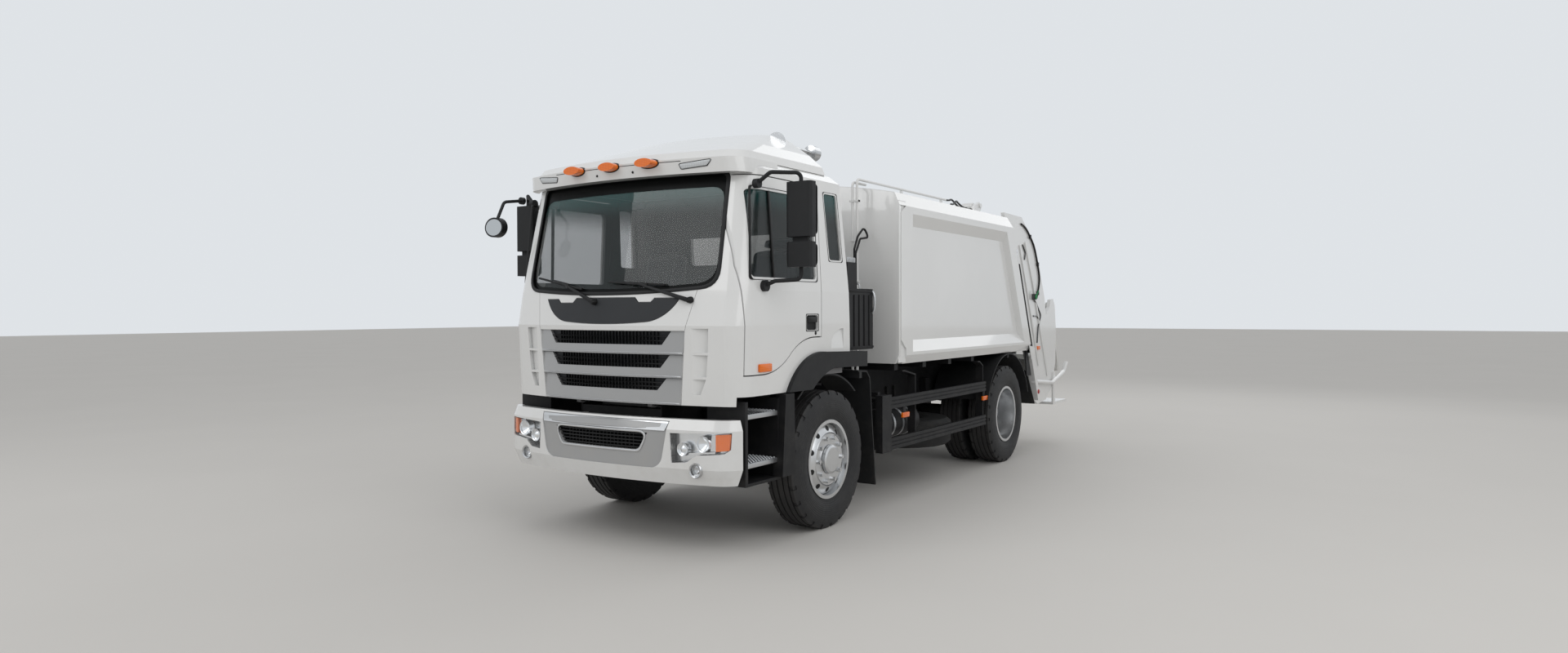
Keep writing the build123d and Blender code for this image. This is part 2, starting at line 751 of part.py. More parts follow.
# grille bars, columns: lower edge, upper edge, floor of the slot, half width of the slot at its top
grille_bars = (
    (cab_levels[0][0], 1201.0, 1118.0, 534.0),
    (1205.0, 1361.0, 1272.0, 566.0),
    (1365.0, grille_top_z, 1430.0, 584.0),
)
slot_slope = 72.0
bar_proud = 5.0
bar_setback = 14.0
nose_low_z = 1573.0
nose_top_z = 1750.0
nose_half_width = 635.0
notch_depth = 28.0
nose_panel_proud = 3.0
seam_width = 4.0
seam_depth = 8.0
panel_split_y = front_axle_y - 1125 - shut_gap
cab_split_y = front_axle_y + 165
front_reach = 420.0


def rounded_prism(plane, points, corner, amount, mode=Mode.ADD):
    """Prism whose outline has rounded corners."""
    with BuildSketch(plane) as face:
        outline(points)
        fillet(face.vertices(), corner)
    extrude(face.sketch, amount=amount, mode=mode)


def screen_face():
    """Windscreen outline: bowed sill and head, with larger corners below."""
    with BuildSketch(front_plane) as face:
        with BuildLine() as edge:
            ThreePointArc((-screen_low_x, screen_corner_z), (0, screen_low_z), (screen_low_x, screen_corner_z))
            Line((screen_low_x, screen_corner_z), (screen_top_x, screen_top_z))
            Line((screen_top_x, screen_top_z), (-screen_top_x, screen_top_z))
            Line((-screen_top_x, screen_top_z), (-screen_low_x, screen_corner_z))
        make_face(edge.line)
        by_height = face.vertices().sort_by(Axis.Y)
        fillet(by_height[:2], screen_low_corner)
        fillet(face.vertices().sort_by(Axis.Y)[-2:], screen_top_corner)
    return face.sketch


def nose_face(grow=0.0):
    """Outline of the dark panel below the windscreen: notched top, and a lower edge like a shallow bowl."""
    with BuildSketch(front_plane) as face:
        with BuildLine() as edge:
            Polyline((-nose_half_width, nose_top_z), (-505, nose_top_z), (-475, nose_top_z - notch_depth),
                     (-335, nose_top_z - notch_depth), (-300, nose_top_z + 6), (265, nose_top_z + 6),
                     (300, nose_top_z - notch_depth), (405, nose_top_z - notch_depth), (435, nose_top_z),
                     (nose_half_width, nose_top_z))
            ThreePointArc((nose_half_width, nose_top_z), (545, 1650), (400, nose_low_z + 17))
            ThreePointArc((400, nose_low_z + 17), (0, nose_low_z), (-400, nose_low_z + 17))
            ThreePointArc((-400, nose_low_z + 17), (-545, 1650), (-nose_half_width, nose_top_z))
        make_face(edge.line)
        if grow:
            offset(amount=grow, kind=Kind.INTERSECTION)
    return face.sketch


# windscreen aperture and the rest of the glazing, as cutters shared by the panels and the panes
front_plane = front_view(front_axle_y - 1400)

with BuildPart() as shut_lines:
    # grooves round the nose panel and the grille, and up to the windscreen's corners
    extrude(nose_face(seam_width), amount=-front_reach)
    half_seam = seam_width / 2
    for side in (-1, 1):
        prism(front_plane, [(side * (grille_top_x + half_seam), grille_top_z + seam_width),
                            (side * (grille_top_x + half_seam + seam_width), grille_top_z + seam_width),
                            (side * (762 + seam_width), 1812), (side * 762, 1812)], -front_reach)
        prism(front_plane, [(side * grille_low_x, grille_low_z - 10),
                            (side * (grille_low_x + seam_width), grille_low_z - 10),
                            (side * (grille_top_x + seam_width), grille_top_z + seam_width),
                            (side * grille_top_x, grille_top_z + seam_width)], -front_reach)
    block((-grille_top_x - seam_width, grille_top_x + seam_width), (front_axle_y - 1400, front_axle_y - 1200),
          (grille_top_z, grille_top_z + seam_width))
    cab_form(seam_depth, Mode.SUBTRACT)

louvre_inner_x = 742.0
louvre_depth = 34.0
# vent pockets, columns: lower edge, upper edge, outer edge at the bottom, outer edge at the top
louvres = ((1098.0, 1200.0, 800.0, 842.0), (1218.0, 1364.0, 846.0, 860.0), (1382.0, 1542.0, 862.0, 870.0))

with BuildPart() as louvre_pockets:
    # each pocket is flush beside the grille and deepens to a step at its outer edge
    for side in (-1, 1):
        for low_z, high_z, outer_low, outer_high in louvres:
            levels = []
            for z, outer_x in ((low_z, outer_low), (high_z, outer_high)):
                nose_y = front_axle_y + cab_at(z, 1)
                with BuildSketch(Plane.XY.offset(z)) as level:
                    outline([(side * louvre_inner_x, nose_y + bow_setback(louvre_inner_x)),
                             (side * louvre_inner_x, nose_y - 40), (side * outer_x, nose_y - 40),
                             (side * outer_x, nose_y + bow_setback(outer_x) + louvre_depth)])
                levels.append(level.sketch)
            loft(levels, ruled=True)

with BuildPart() as cab_shell:
    cab_form(0)
    cab_form(cab_wall, Mode.SUBTRACT)
    add(cab_arch_cutter.part, mode=Mode.SUBTRACT)
    block((-1200, 1200), (front_axle_y - 1165, cab_rear_y + 100), (900, cab_skirt_z), Mode.SUBTRACT)
    extrude(screen_face(), amount=-front_reach, mode=Mode.SUBTRACT)

with BuildPart() as cab_front:
    add(cab_shell.part)
    prism(front_plane, grille_outline, -front_reach, Mode.SUBTRACT)
    extrude(nose_face(), amount=-front_reach, mode=Mode.SUBTRACT)
    add(shut_lines.part, mode=Mode.SUBTRACT)
    add(louvre_pockets.part, mode=Mode.SUBTRACT)
    split(bisect_by=front_view(panel_split_y), keep=Keep.TOP)
write(cab_front, "cab_front")

scoop_top_z = 1532.0
scoop_low_z = 1350.0
scoop_depth = 16.0
with BuildPart() as corner_scoops:
    # shallow hollows at the cab's rear corners: a step along the top that fades out downwards
    for side in (-1, 1):
        prism(front_view(front_axle_y - 30), [(side * (cab_half_width + 1), scoop_top_z),
                                              (side * (cab_half_width - scoop_depth), scoop_top_z - 16),
                                              (side * (cab_half_width + 1), scoop_low_z)], -330)
    prism(side_view(-cab_half_width - 10), [(front_axle_y - 30, scoop_low_z - 10), (front_axle_y - 14, 1440),
                                            (front_axle_y + 30, 1492), (front_axle_y + 110, 1521),
                                            (front_axle_y + 300, scoop_top_z), (front_axle_y + 300, scoop_low_z - 10)],
          2 * cab_half_width + 20, Mode.INTERSECT)

with BuildPart() as cut_sides:
    add(cab_shell.part)
    split(bisect_by=front_view(panel_split_y), keep=Keep.BOTTOM)
    split(bisect_by=front_view(cab_split_y), keep=Keep.TOP)
    add(door_cutter.part, mode=Mode.SUBTRACT)
    rounded_prism(side_view(-1200), quarter_window, 25, 2400, Mode.SUBTRACT)
    add(corner_scoops.part, mode=Mode.SUBTRACT)

with BuildPart() as cab_sides:
    # the slivers between the door openings and the windscreen's lower corners are left out
    add(cut_sides.part.solids().sort_by(SortBy.VOLUME)[-1])
write(cab_sides, "cab_sides")

with BuildPart() as cab_rear_wall:
    add(cab_shell.part)
    split(bisect_by=front_view(cab_split_y), keep=Keep.BOTTOM)
    rounded_prism(side_view(-1200), quarter_window, 25, 2400, Mode.SUBTRACT)
    rounded_prism(front_view(front_axle_y + 100), [(-420, 2050), (420, 2050), (420, 2430), (-420, 2430)], 40, -300,
                  Mode.SUBTRACT)
write(cab_rear_wall, "cab_rear_wall")

floor_front_y = front_axle_y - 1150.0
with BuildPart() as cab_floor:
    cab_form(cab_wall)
    with BuildSketch(side_view(-1200)) as slab:
        outline([(floor_front_y - 200, cab_floor_z - cab_floor_thickness), (cab_rear_y, cab_floor_z - cab_floor_thickness),
                 (cab_rear_y, cab_floor_z), (floor_front_y - 200, cab_floor_z)])
    extrude(slab.sketch, amount=2400, mode=Mode.INTERSECT)
    # tilt hinge arms, forward and down to the pivot
    for side in (-1, 1):
        x = side * tilt_arm_x
        prism(side_view(x - 20), [(tilt_axis_y - 30, tilt_axis_z - 25), (tilt_axis_y + 30, tilt_axis_z - 25),
                                  (tilt_axis_y + 190, cab_floor_z - cab_floor_thickness),
                                  (tilt_axis_y + 20, cab_floor_z - cab_floor_thickness)], 40)
        disc(side_view(x - 20), (tilt_axis_y, tilt_axis_z), 32, 40)
        disc(side_view(x - 21), (tilt_axis_y, tilt_axis_z), tilt_pin_radius + running_clearance, 42, Mode.SUBTRACT)
write(cab_floor, "cab_floor")


def door(side):
    """Door panel with its window cut out: the piece of the cab's side inside the shut line."""
    with BuildPart() as part:
        with BuildSketch(side_view(door_skin_x)):
            door_outline(0)
        extrude(amount=300)
        cab_form(0, Mode.INTERSECT)
        cab_form(cab_wall, Mode.SUBTRACT)
        rounded_prism(side_view(door_skin_x), door_window, 30, 300, Mode.SUBTRACT)
        rounded_prism(side_view(cab_half_width - handle_pocket_depth), handle_pocket, 18, 100, Mode.SUBTRACT)
        if side < 0:
            mirror(about=Plane.YZ, mode=Mode.REPLACE)
    return part


def rounded_face(plane, points, corner):
    """Straight-sided face with rounded corners."""
    with BuildSketch(plane) as face:
        outline(points)
        fillet(face.vertices(), corner)
    return face.sketch


def pane(face, amount):
    """Glass following the cab's curve inside an aperture."""
    with BuildPart() as part:
        extrude(face, amount=amount)
        cab_form(glass_inset, Mode.INTERSECT)
        cab_form(glass_inset + glass_thickness, Mode.SUBTRACT)
    return part


mirror_x = 1335.0
mirror_y = front_axle_y - 820.0
mirror_half_width = 100.0
mirror_depth = 95.0
arm_radius = 14.0


def door_mirror(side):
    """Two mirror housings hung on a bent tube, with its two feet on the door's front edge."""
    with BuildPart() as part:
        foot_x = side * 1088
        upper_foot = (foot_x, front_axle_y - 985, 2520)
        lower_foot = (side * 1108, front_axle_y - 930, 1830)
        pipe([upper_foot, (side * 1180, front_axle_y - 960, 2592), (side * mirror_x, mirror_y, 2592),
              (side * mirror_x, mirror_y, 2500)], arm_radius, 40)
        pipe([lower_foot, (side * 1180, front_axle_y - 910, 1862), (side * mirror_x, mirror_y, 1872),
              (side * mirror_x, mirror_y, 1975)], arm_radius, 40)
        for low_z, high_z in ((2160, 2530), (1955, 2125)):
            with BuildSketch(Plane.XY.offset(low_z)):
                with Locations((side * mirror_x, mirror_y)):
                    RectangleRounded(2 * mirror_half_width, mirror_depth, 30)
            extrude(amount=high_z - low_z)
        block(sorted((side * (mirror_x - 60), side * (mirror_x + 60))), (mirror_y - 15, mirror_y + 15), (2120, 2165))
        disc(side_view(side * (abs(foot_x) - 20)), (upper_foot[1], upper_foot[2]), 32, side * 40)
        disc(side_view(side * 1100), (lower_foot[1], lower_foot[2]), 38, side * 30)
    return part


for side, name in ((1, "left"), (-1, "right")):
    write(door(side), f"door_{name}")
    window = rounded_face(side_view(side * door_skin_x), door_window, 30)
    write(pane(window, side * 300), f"door_glass_{name}")
    write(door_mirror(side), f"mirror_{name}")

write(pane(screen_face(), -front_reach), "windscreen")

with BuildPart() as cab_glass:
    rounded_prism(side_view(-1200), quarter_window, 25, 2400)
    rounded_prism(front_view(front_axle_y + 100), [(-420, 2050), (420, 2050), (420, 2430), (-420, 2430)], 40, -300)
    cab_form(glass_inset, Mode.INTERSECT)
    cab_form(glass_inset + glass_thickness, Mode.SUBTRACT)
write(cab_glass, "cab_glass")

roof_slab = 60.0
# columns: height, nose offset, half width, rear offset, all from the front axle
cap_levels = (
    (gutter_z + roof_slab, -1215.0, 1000.0, 60.0),
    (gutter_z + roof_slab + 60, -1170.0, 985.0, 40.0),
    (gutter_z + roof_slab + 150, -900.0, 900.0, 0.0),
    (2990.0, -470.0, 720.0, -60.0),
)
with BuildPart() as cab_roof:
    loft([plan_outline(gutter_z, front_axle_y - 1120, 1055, front_axle_y + 180, nose_bow, cab_corner_radius),
          plan_outline(gutter_z + roof_slab, front_axle_y - 1080, 990, front_axle_y + 130, nose_bow, cab_corner_radius)],
         ruled=True)

with BuildPart() as roof_cap:
    # sun visor, reaching down in front of the windscreen's upper edge
    loft([plan_outline(2600, front_axle_y - 1235, 1040, front_axle_y - 650, nose_bow, cab_corner_radius),
          plan_outline(gutter_z + roof_slab, front_axle_y - 1250, 1030, front_axle_y - 650, nose_bow,
                       cab_corner_radius)], ruled=True)
    loft([plan_outline(2590, front_axle_y - 1150, 1075, front_axle_y - 550, nose_bow, cab_corner_radius),
          plan_outline(gutter_z, front_axle_y - 1121, 1056, front_axle_y - 550, nose_bow, cab_corner_radius),
          plan_outline(gutter_z + roof_slab, front_axle_y - 1081, 991, front_axle_y - 550, nose_bow,
                       cab_corner_radius)], ruled=True, mode=Mode.SUBTRACT)
    loft([plan_outline(z, front_axle_y + nose, half_width, front_axle_y + rear, nose_bow, cab_corner_radius)
          for z, nose, half_width, rear in cap_levels], ruled=True)
    add(cab_roof.part)
write(roof_cap, "cab_roof")



def bar_form(low_z, high_z, inset, mode=Mode.ADD):
    """Form of one grille bar: its face leans back from a proud lower edge and keeps the nose's bow."""
    levels = []
    for z, out in ((low_z, bar_proud), (high_z, -bar_setback)):
        levels.append(plan_outline(z, front_axle_y + cab_at(z, 1) - out + inset, cab_at(z, 2) - inset,
                                   front_axle_y + cab_at(z, 3), nose_bow, cab_corner_radius))
    loft(levels, ruled=True, mode=mode)


def grille_bar(low_z, high_z, slot_z, slot_x):
    """One bar of the grille, with raised ends round its own slot."""
    slope = (grille_top_x - grille_low_x) / (grille_top_z - grille_low_z)
    low_x = grille_low_x + slope * (low_z - grille_low_z)
    high_x = grille_low_x + slope * (high_z - grille_low_z)
    with BuildPart() as bar:
        bar_form(low_z, high_z, 0)
        cab_form(grille_depth, Mode.SUBTRACT)
        prism(front_plane, [(-low_x, low_z), (low_x, low_z), (high_x, high_z), (-high_x, high_z)],
              -front_reach, Mode.INTERSECT)
        prism(front_plane, [(slot_slope - slot_x, slot_z), (slot_x - slot_slope, slot_z), (slot_x, high_z + 1),
                            (-slot_x, high_z + 1)], -front_reach, Mode.SUBTRACT)
    return bar.part


with BuildPart() as grille:
    for bar_sizes in grille_bars:
        add(grille_bar(*bar_sizes))
write(grille, "grille")

with BuildPart() as grille_backing:
    prism(front_plane, grille_outline, -front_reach)
    cab_form(grille_depth, Mode.INTERSECT)

with BuildPart() as nose_panel:
    # dark panel under the windscreen, and the dark backing that the grille bars sit on
    extrude(nose_face(), amount=-front_reach)
    cab_form(-nose_panel_proud, Mode.INTERSECT)
    add(grille_backing.part)
    cab_form(cab_wall, Mode.SUBTRACT)
write(nose_panel, "nose_panel")

roof_lamp_spacing = 345.0
roof_lamp_half_width = 76.0
roof_lamp_half_height = 30.0

with BuildPart() as roof_lamps:
    for x in (-roof_lamp_spacing, 0, roof_lamp_spacing):
        with BuildSketch(front_view(front_axle_y - 1300)) as oval:
            with Locations((x, gutter_z + roof_slab - 15)):
                Ellipse(roof_lamp_half_width, roof_lamp_half_height)
        extrude(oval.sketch, amount=-110)
    add(roof_cap.part, mode=Mode.SUBTRACT)
write(roof_lamps, "roof_lamps")

dash_half_width = 950.0

with BuildPart() as cab_interior:
    for x in (-560, 560):
        block((x - 240, x + 240), (front_axle_y - 520, front_axle_y - 60), (cab_floor_z, cab_floor_z + 420))
        prism(side_view(x - 240), [(front_axle_y - 160, cab_floor_z + 380), (front_axle_y - 20, cab_floor_z + 380),
                                   (front_axle_y + 60, cab_floor_z + 1020), (front_axle_y - 40, cab_floor_z + 1020)],
              480)
    prism(side_view(-dash_half_width),
          [(front_axle_y - 1080, cab_floor_z + 250), (front_axle_y - 860, cab_floor_z + 250),
           (front_axle_y - 800, cab_floor_z + 500), (front_axle_y - 1060, cab_floor_z + 560)], 2 * dash_half_width)
write(cab_interior, "cab_interior")

with BuildPart() as arch_trims:
    for side in (-1, 1):
        with BuildSketch(side_view(side * arch_inner_x)) as flare:
            with BuildLine() as edge:
                Line((front_axle_y - 745, 560), (front_axle_y - 715, 880))
                ThreePointArc((front_axle_y - 715, 880), (front_axle_y - 490, 1260), (front_axle_y - 120, 1352))
                Polyline((front_axle_y - 120, 1352), (front_axle_y + 500, 1335), (front_axle_y + 500, 1215),
                         (front_axle_y, 1228))
                ThreePointArc((front_axle_y, 1228), (front_axle_y - 350, 1070), (front_axle_y - 505, 857))
                Polyline((front_axle_y - 505, 857), (front_axle_y - 575, 560), (front_axle_y - 745, 560))
            make_face(edge.line)
        extrude(flare.sketch, amount=side * (arch_outer_x - arch_inner_x))
    split(bisect_by=Plane.XY.offset(arch_split_z), keep=Keep.TOP)
    # liner over the tyre
    for side in (-1, 1):
        with BuildSketch(side_view(side * 800)) as ring:
            with Locations((front_axle_y, tyre_radius)):
                Circle(cab_floor_z - cab_floor_thickness - tyre_radius + 8)
                Circle(cab_floor_z - cab_floor_thickness - tyre_radius - 7, mode=Mode.SUBTRACT)
                with Locations((0, -500)):
                    Rectangle(1600, 1980, mode=Mode.SUBTRACT)
                with Locations((0, cab_floor_z - cab_floor_thickness - tyre_radius + 50)):
                    Rectangle(1600, 100, mode=Mode.SUBTRACT)
        extrude(ring.sketch, amount=side * (arch_inner_x - 800))

write(arch_trims, "arch_trims")

with BuildPart() as air_horn:
    horn_plane = Plane(origin=(750, front_axle_y - 250, 2925), x_dir=(1, 0, 0), z_dir=(0, 1, 0))
    horn_axis = Axis((750, front_axle_y, 2925), (0, 1, 0))
    with BuildSketch(Plane.XY.offset(2925)) as horn_half:
        outline([(750, front_axle_y - 250), (840, front_axle_y - 250), (800, front_axle_y - 190),
                 (775, front_axle_y - 110), (768, front_axle_y + 230), (810, front_axle_y + 240),
                 (810, front_axle_y + 320), (750, front_axle_y + 330)])
    revolve(horn_half.sketch, axis=horn_axis)
    for y in (front_axle_y - 150, front_axle_y + 30):
        block((740, 760), (y - 20, y + 20), (gutter_z + roof_slab, 2925))
    add(roof_cap.part, mode=Mode.SUBTRACT)
write(air_horn, "air_horn")

with BuildPart() as front_mirror:
    pipe([(-1000, front_axle_y - 1190, 2520), (-1030, front_axle_y - 1330, 2500), (-1045, front_axle_y - 1400, 2330)],
         12, 40)
    with BuildSketch(front_view(front_axle_y - 1370)) as oval:
        with Locations((-1045, 2300)):
            Ellipse(100, 75)
    extrude(oval.sketch, amount=50)
    disc(front_view(front_axle_y - 1165), (-1000, 2520), 28, 30)
write(front_mirror, "front_mirror")

# ================================================================ chassis sides
with BuildPart() as entry_steps:
    for side in (-1, 1):
        # back wall, floor and two treads of the entry recess, and the lower leg of the wheel arch
        block(side_span(side, 760, 780), (front_axle_y - 1120, front_axle_y - 700), (500, 1050))
        block(side_span(side, 760, 1080), (front_axle_y - 1120, front_axle_y - 1090), (500, 1050))
        block(side_span(side, 760, 1080), (front_axle_y - 730, front_axle_y - 700), (500, 1050))
        for z in (600, 930):
            block(side_span(side, 770, 1075), (front_axle_y - 1110, front_axle_y - 710), (z, z + 30))
        block(side_span(side, 760, 1080), (front_axle_y - 1120, front_axle_y - 700), (480, 500))
        prism(side_view(side * 1045), [(front_axle_y - 745, 500), (front_axle_y - 715, 880),
                                       (front_axle_y - 700, arch_split_z - 8), (front_axle_y - 590, arch_split_z - 8),
                                       (front_axle_y - 575, 500)], side * (arch_outer_x - 1045))
        block(side_span(side, rail_outer_x, 765), (front_axle_y - 1100, front_axle_y - 1040), (800, 860))
        block(side_span(side, rail_outer_x, 765), (front_axle_y - 780, front_axle_y - 720), (800, 860))
write(entry_steps, "entry_steps")

with BuildPart() as mudguards:
    for side in (-1, 1):
        # front flap, folded over at the top
        prism(side_view(side * 800), strip([(front_axle_y + 400, 1172), (front_axle_y + 540, 1164),
                                            (front_axle_y + 590, 1110), (front_axle_y + 690, 225)], 12), side * 300)
        block(side_span(side, rail_outer_x, 1100), (front_axle_y + 420, front_axle_y + 460), (1120, 1172))
        # rear fender, dark panel between it and the tailgate, and the flap below that
        with BuildSketch(side_view(side * 500)) as fender:
            with BuildLine() as edge:
                ThreePointArc((rear_axle_y - 640, 725), (rear_axle_y, 1190), (rear_axle_y + 600, 725))
                Line((rear_axle_y + 600, 725), (rear_axle_y + 588, 725))
                ThreePointArc((rear_axle_y + 588, 725), (rear_axle_y, 1178), (rear_axle_y - 628, 725))
                Line((rear_axle_y - 628, 725), (rear_axle_y - 640, 725))
            make_face(edge.line)
        extrude(fender.sketch, amount=side * 620)
        prism(side_view(side * 1090), [(front_axle_y + 4365, 1190), (seam_y(-22, 1190), 1190), (seam_y(-22, 905), 905),
                                       (front_axle_y + 4412, 905)], side * 12)
        prism(side_view(side * 480), strip([(front_axle_y + 4425, 930), (front_axle_y + 4690, 560)], 10), side * 620)
        block(side_span(side, rail_outer_x, 1095), (front_axle_y + 4415, front_axle_y + 4440), (925, 965))
        block(side_span(side, rail_outer_x - 60, rail_outer_x), (rail_rear_y, front_axle_y + 4440), (925, 965))
        block(sorted((side * rail_outer_x, side * 1100)), (rear_axle_y - 20, rear_axle_y + 20), (1140, 1181))
write(mudguards, "mudguards")

guard_x = 1085.0
hanger_x = 1010.0
guard_rail_z = (480.0, 828.0)
guard_rail_height = 98.0
with BuildPart() as side_guards:
    for side in (-1, 1):
        x = side_span(side, guard_x, guard_x + 30)
        for z in guard_rail_z:
            block(x, (front_axle_y + 900, front_axle_y + 3110), (z, z + guard_rail_height))
            for groove in (30, 62):
                groove_x = side_span(side, guard_x + 22, guard_x + 31)
                block(groove_x, (front_axle_y + 960, front_axle_y + 3111), (z + groove, z + groove + 12),
                      Mode.SUBTRACT)
        block(side_span(side, guard_x - 30, guard_x + 35), (front_axle_y + 780, front_axle_y + 950), (470, 950))
        # kinked hanger plates from the body's cross bearers down to the rails
        for y, knee in ((1250, 1480), (2990, 3095)):
            path = [(y - 25, 1128), (y + 20, 1128), (knee, 1085), (knee, 480)]
            prism(side_view(side * hanger_x), strip([(front_axle_y + along, z) for along, z in path], 12),
                  side * (guard_x - hanger_x))
        block(side_span(side, rail_outer_x, guard_x - 30), (front_axle_y + 820, front_axle_y + 860), (935, 975))
write(side_guards, "side_guards")

with BuildPart() as tanks:
    # fuel tank on the right, air tanks and battery box on the left
    with BuildSketch(front_view(front_axle_y + 1420)) as fuel:
        with Locations((-725, 700)):
            RectangleRounded(560, 520, 90)
    extrude(fuel.sketch, amount=-1100)
    block((-rail_outer_x - 60, -rail_outer_x), (front_axle_y + 1600, front_axle_y + 1660), (860, 940))
    block((-rail_outer_x - 60, -rail_outer_x), (front_axle_y + 2300, front_axle_y + 2360), (860, 940))
    disc(front_view(front_axle_y + 1150), (870, 660), 130, -600)
    block((rail_outer_x, 850), (front_axle_y + 1300, front_axle_y + 1340), (780, 830))
    block((rail_outer_x, 850), (front_axle_y + 1660, front_axle_y + 1700), (780, 830))
    block((rail_outer_x, 690), (front_axle_y + 980, front_axle_y + 1280), (560, 900))
write(tanks, "tanks")

spare_offset = 2350.0
spare_x = 480.0
spare_z = 472.0
with BuildPart() as spare_wheel:
    # lies flat on its carrier below the drive shaft
    spare_axis = Axis((spare_x, front_axle_y + spare_offset, 0), (0, 0, 1))
    spare_half = tyre_width / 2
    with BuildSketch(front_view(front_axle_y + spare_offset)) as section:
        outline([(spare_x + r, spare_z + h) for r, h in (
            (0, -20), (200, -20), (230, -spare_half + 20), (300, -spare_half + 5), (485, -spare_half + 10),
            (tyre_radius, -95), (tyre_radius, 95), (485, spare_half - 10), (300, spare_half - 5),
            (230, spare_half - 20), (200, 20), (0, 20))])
    revolve(section.sketch, axis=spare_axis)
    # carrier strap up to the frame rail
    for way in (-1, 1):
        y = front_axle_y + spare_offset + way * 80
        block((spare_x - 140, spare_x + 140), (y - 20, y + 20), (spare_z - 10, spare_z + 15))
        block((rail_outer_x + 2, rail_outer_x + 22), (y - 20, y + 20), (spare_z, rail_top_z - 100))
write(spare_wheel, "spare_wheel")

conduit_x = (773.0, 817.0)
conduit_y = front_axle_y + 900.0
conduit_radius = 11.0
roof_pipe_z = 2785.0
hose_x = 850.0
with BuildPart() as air_intake:
    block((700, 1010), (front_axle_y + 420, front_axle_y + 820), (1340, 1840))
    block((730, 980), (front_axle_y + 440, front_axle_y + 600), (1840, 2050))
    block((700, 760), (front_axle_y + 500, front_axle_y + 760), (rail_top_z, 1340))
    block((rail_outer_x - 60, 760), (front_axle_y + 500, front_axle_y + 760), (rail_top_z, rail_top_z + 40))
    # twin conduits on a bracket behind the cab, bent over on to the roof
    block(side_span(1, rail_outer_x - 60, 850), (conduit_y - 25, conduit_y + 25), (rail_top_z, rail_top_z + 40))
    pipe([(conduit_x[0], conduit_y, 1040), (conduit_x[0], conduit_y, 2762), (conduit_x[0], front_axle_y + 1130, 2762)],
         conduit_radius, 35)
    pipe([(conduit_x[1], conduit_y, 1040), (conduit_x[1], conduit_y, roof_pipe_z),
          (conduit_x[1], front_axle_y + 2760, roof_pipe_z)], conduit_radius, 35)
    block((conduit_x[0] - 22, conduit_x[1] + 22), (conduit_y - 15, conduit_y + 15), (2590, 2606))
    # hose looped back on itself beside the conduits
    pipe([(hose_x, front_axle_y + 790, 1840), (hose_x, front_axle_y + 790, 2180), (hose_x, front_axle_y + 850, 2290),
          (hose_x, front_axle_y + 960, 2375), (hose_x + 24, front_axle_y + 1000, 2290),
          (hose_x + 24, front_axle_y + 850, 2270), (hose_x + 24, front_axle_y + 770, 2140),
          (hose_x + 24, front_axle_y + 770, 1840)], 9, 28)
write(air_intake, "air_intake")

# ================================================================ refuse body


def seam_plane(n):
    """Plane along the slanted seam, n behind it, facing the rear."""
    y, z = seam_point(n, 0)
    return Plane(origin=(0, y, z), x_dir=(1, 0, 0), z_dir=(0, seam_n[0], seam_n[1]))


with BuildPart() as body_floor:
    floor_end = seam_low_y - (body_floor_z - seam_low_z) * 0.46 - 20
    block((-body_half_width + body_side_thickness, body_half_width - body_side_thickness), (body_front_y, floor_end),
          (body_floor_z, body_floor_z + body_floor_thickness))
    for side in (-1, 1):
        block(sorted((side * (rail_outer_x - rail_flange), side * rail_outer_x)), (body_front_y - 30, rail_rear_y),
              (rail_top_z, body_floor_z))
    for i in range(6):
        y = body_front_y + 150 + 580 * i
        reach = 480 if y > rear_axle_y - 700 else 1040
        block((-reach, reach), (y - 35, y + 35), (body_floor_z - 60, body_floor_z))
write(body_floor, "body_floor")

side_low_z = body_side_low_z - 40
sill_bevel = 75.0
front_edge_setback = 32.0
front_corner_setback = 130.0
side_outline = [(body_front_y + front_corner_setback, side_low_z), (seam_y(-10, side_low_z), side_low_z),
                (seam_y(-10, shoulder_z), shoulder_z), (body_front_y + front_corner_setback, shoulder_z),
                (body_front_y + front_edge_setback, 2500), (body_front_y + front_edge_setback, 1410),
                (body_front_y + front_corner_setback, 1330)]


def recess(front, low_z, rear_n, top_z):
    """Outline of the side panel's recess, its rear edge along the slanted seam."""
    return [(body_front_y + front, low_z), (seam_y(rear_n, low_z), low_z), (seam_y(rear_n, top_z), top_z),
            (body_front_y + front, top_z)]


recess_outline = recess(260, side_low_z + 100, -200, shoulder_z - 60)
recess_bottom = recess(270, side_low_z + 200, -230, shoulder_z - 160)
lift_x = 1108.0
lift_pin_radius = 18.0
lift_low = seam_point(60, 80)
lift_high = seam_point(60, 1300)


def flat(plane, points):
    with BuildSketch(plane) as face:
        outline(points)
    return face.sketch


with BuildPart() as body_sides:
    for side in (-1, 1):
        prism(side_view(side * (body_half_width - body_side_thickness)), side_outline, side * body_side_thickness)
        loft([flat(side_view(side * body_half_width), recess_outline),
              flat(side_view(side * (body_half_width - recess_depth)), recess_bottom)], ruled=True, mode=Mode.SUBTRACT)
        prism(front_view(body_front_y - 1), [(side * (body_half_width + 1), side_low_z - 1),
                                             (side * (body_half_width + 1), side_low_z + sill_bevel),
                                             (side * (body_half_width - 45), side_low_z - 1)], -4000, Mode.SUBTRACT)
        # lug and pin for the foot of the tailgate's lift cylinder
        prism(side_view(side * (body_half_width - 8)), [seam_point(-60, 20), seam_point(60, 35), seam_point(105, 80),
                                                        seam_point(60, 125), seam_point(-60, 200)], side * 8)
        disc(side_view(side * body_half_width), lift_low, lift_pin_radius, -side * 72)
write(body_sides, "body_sides")

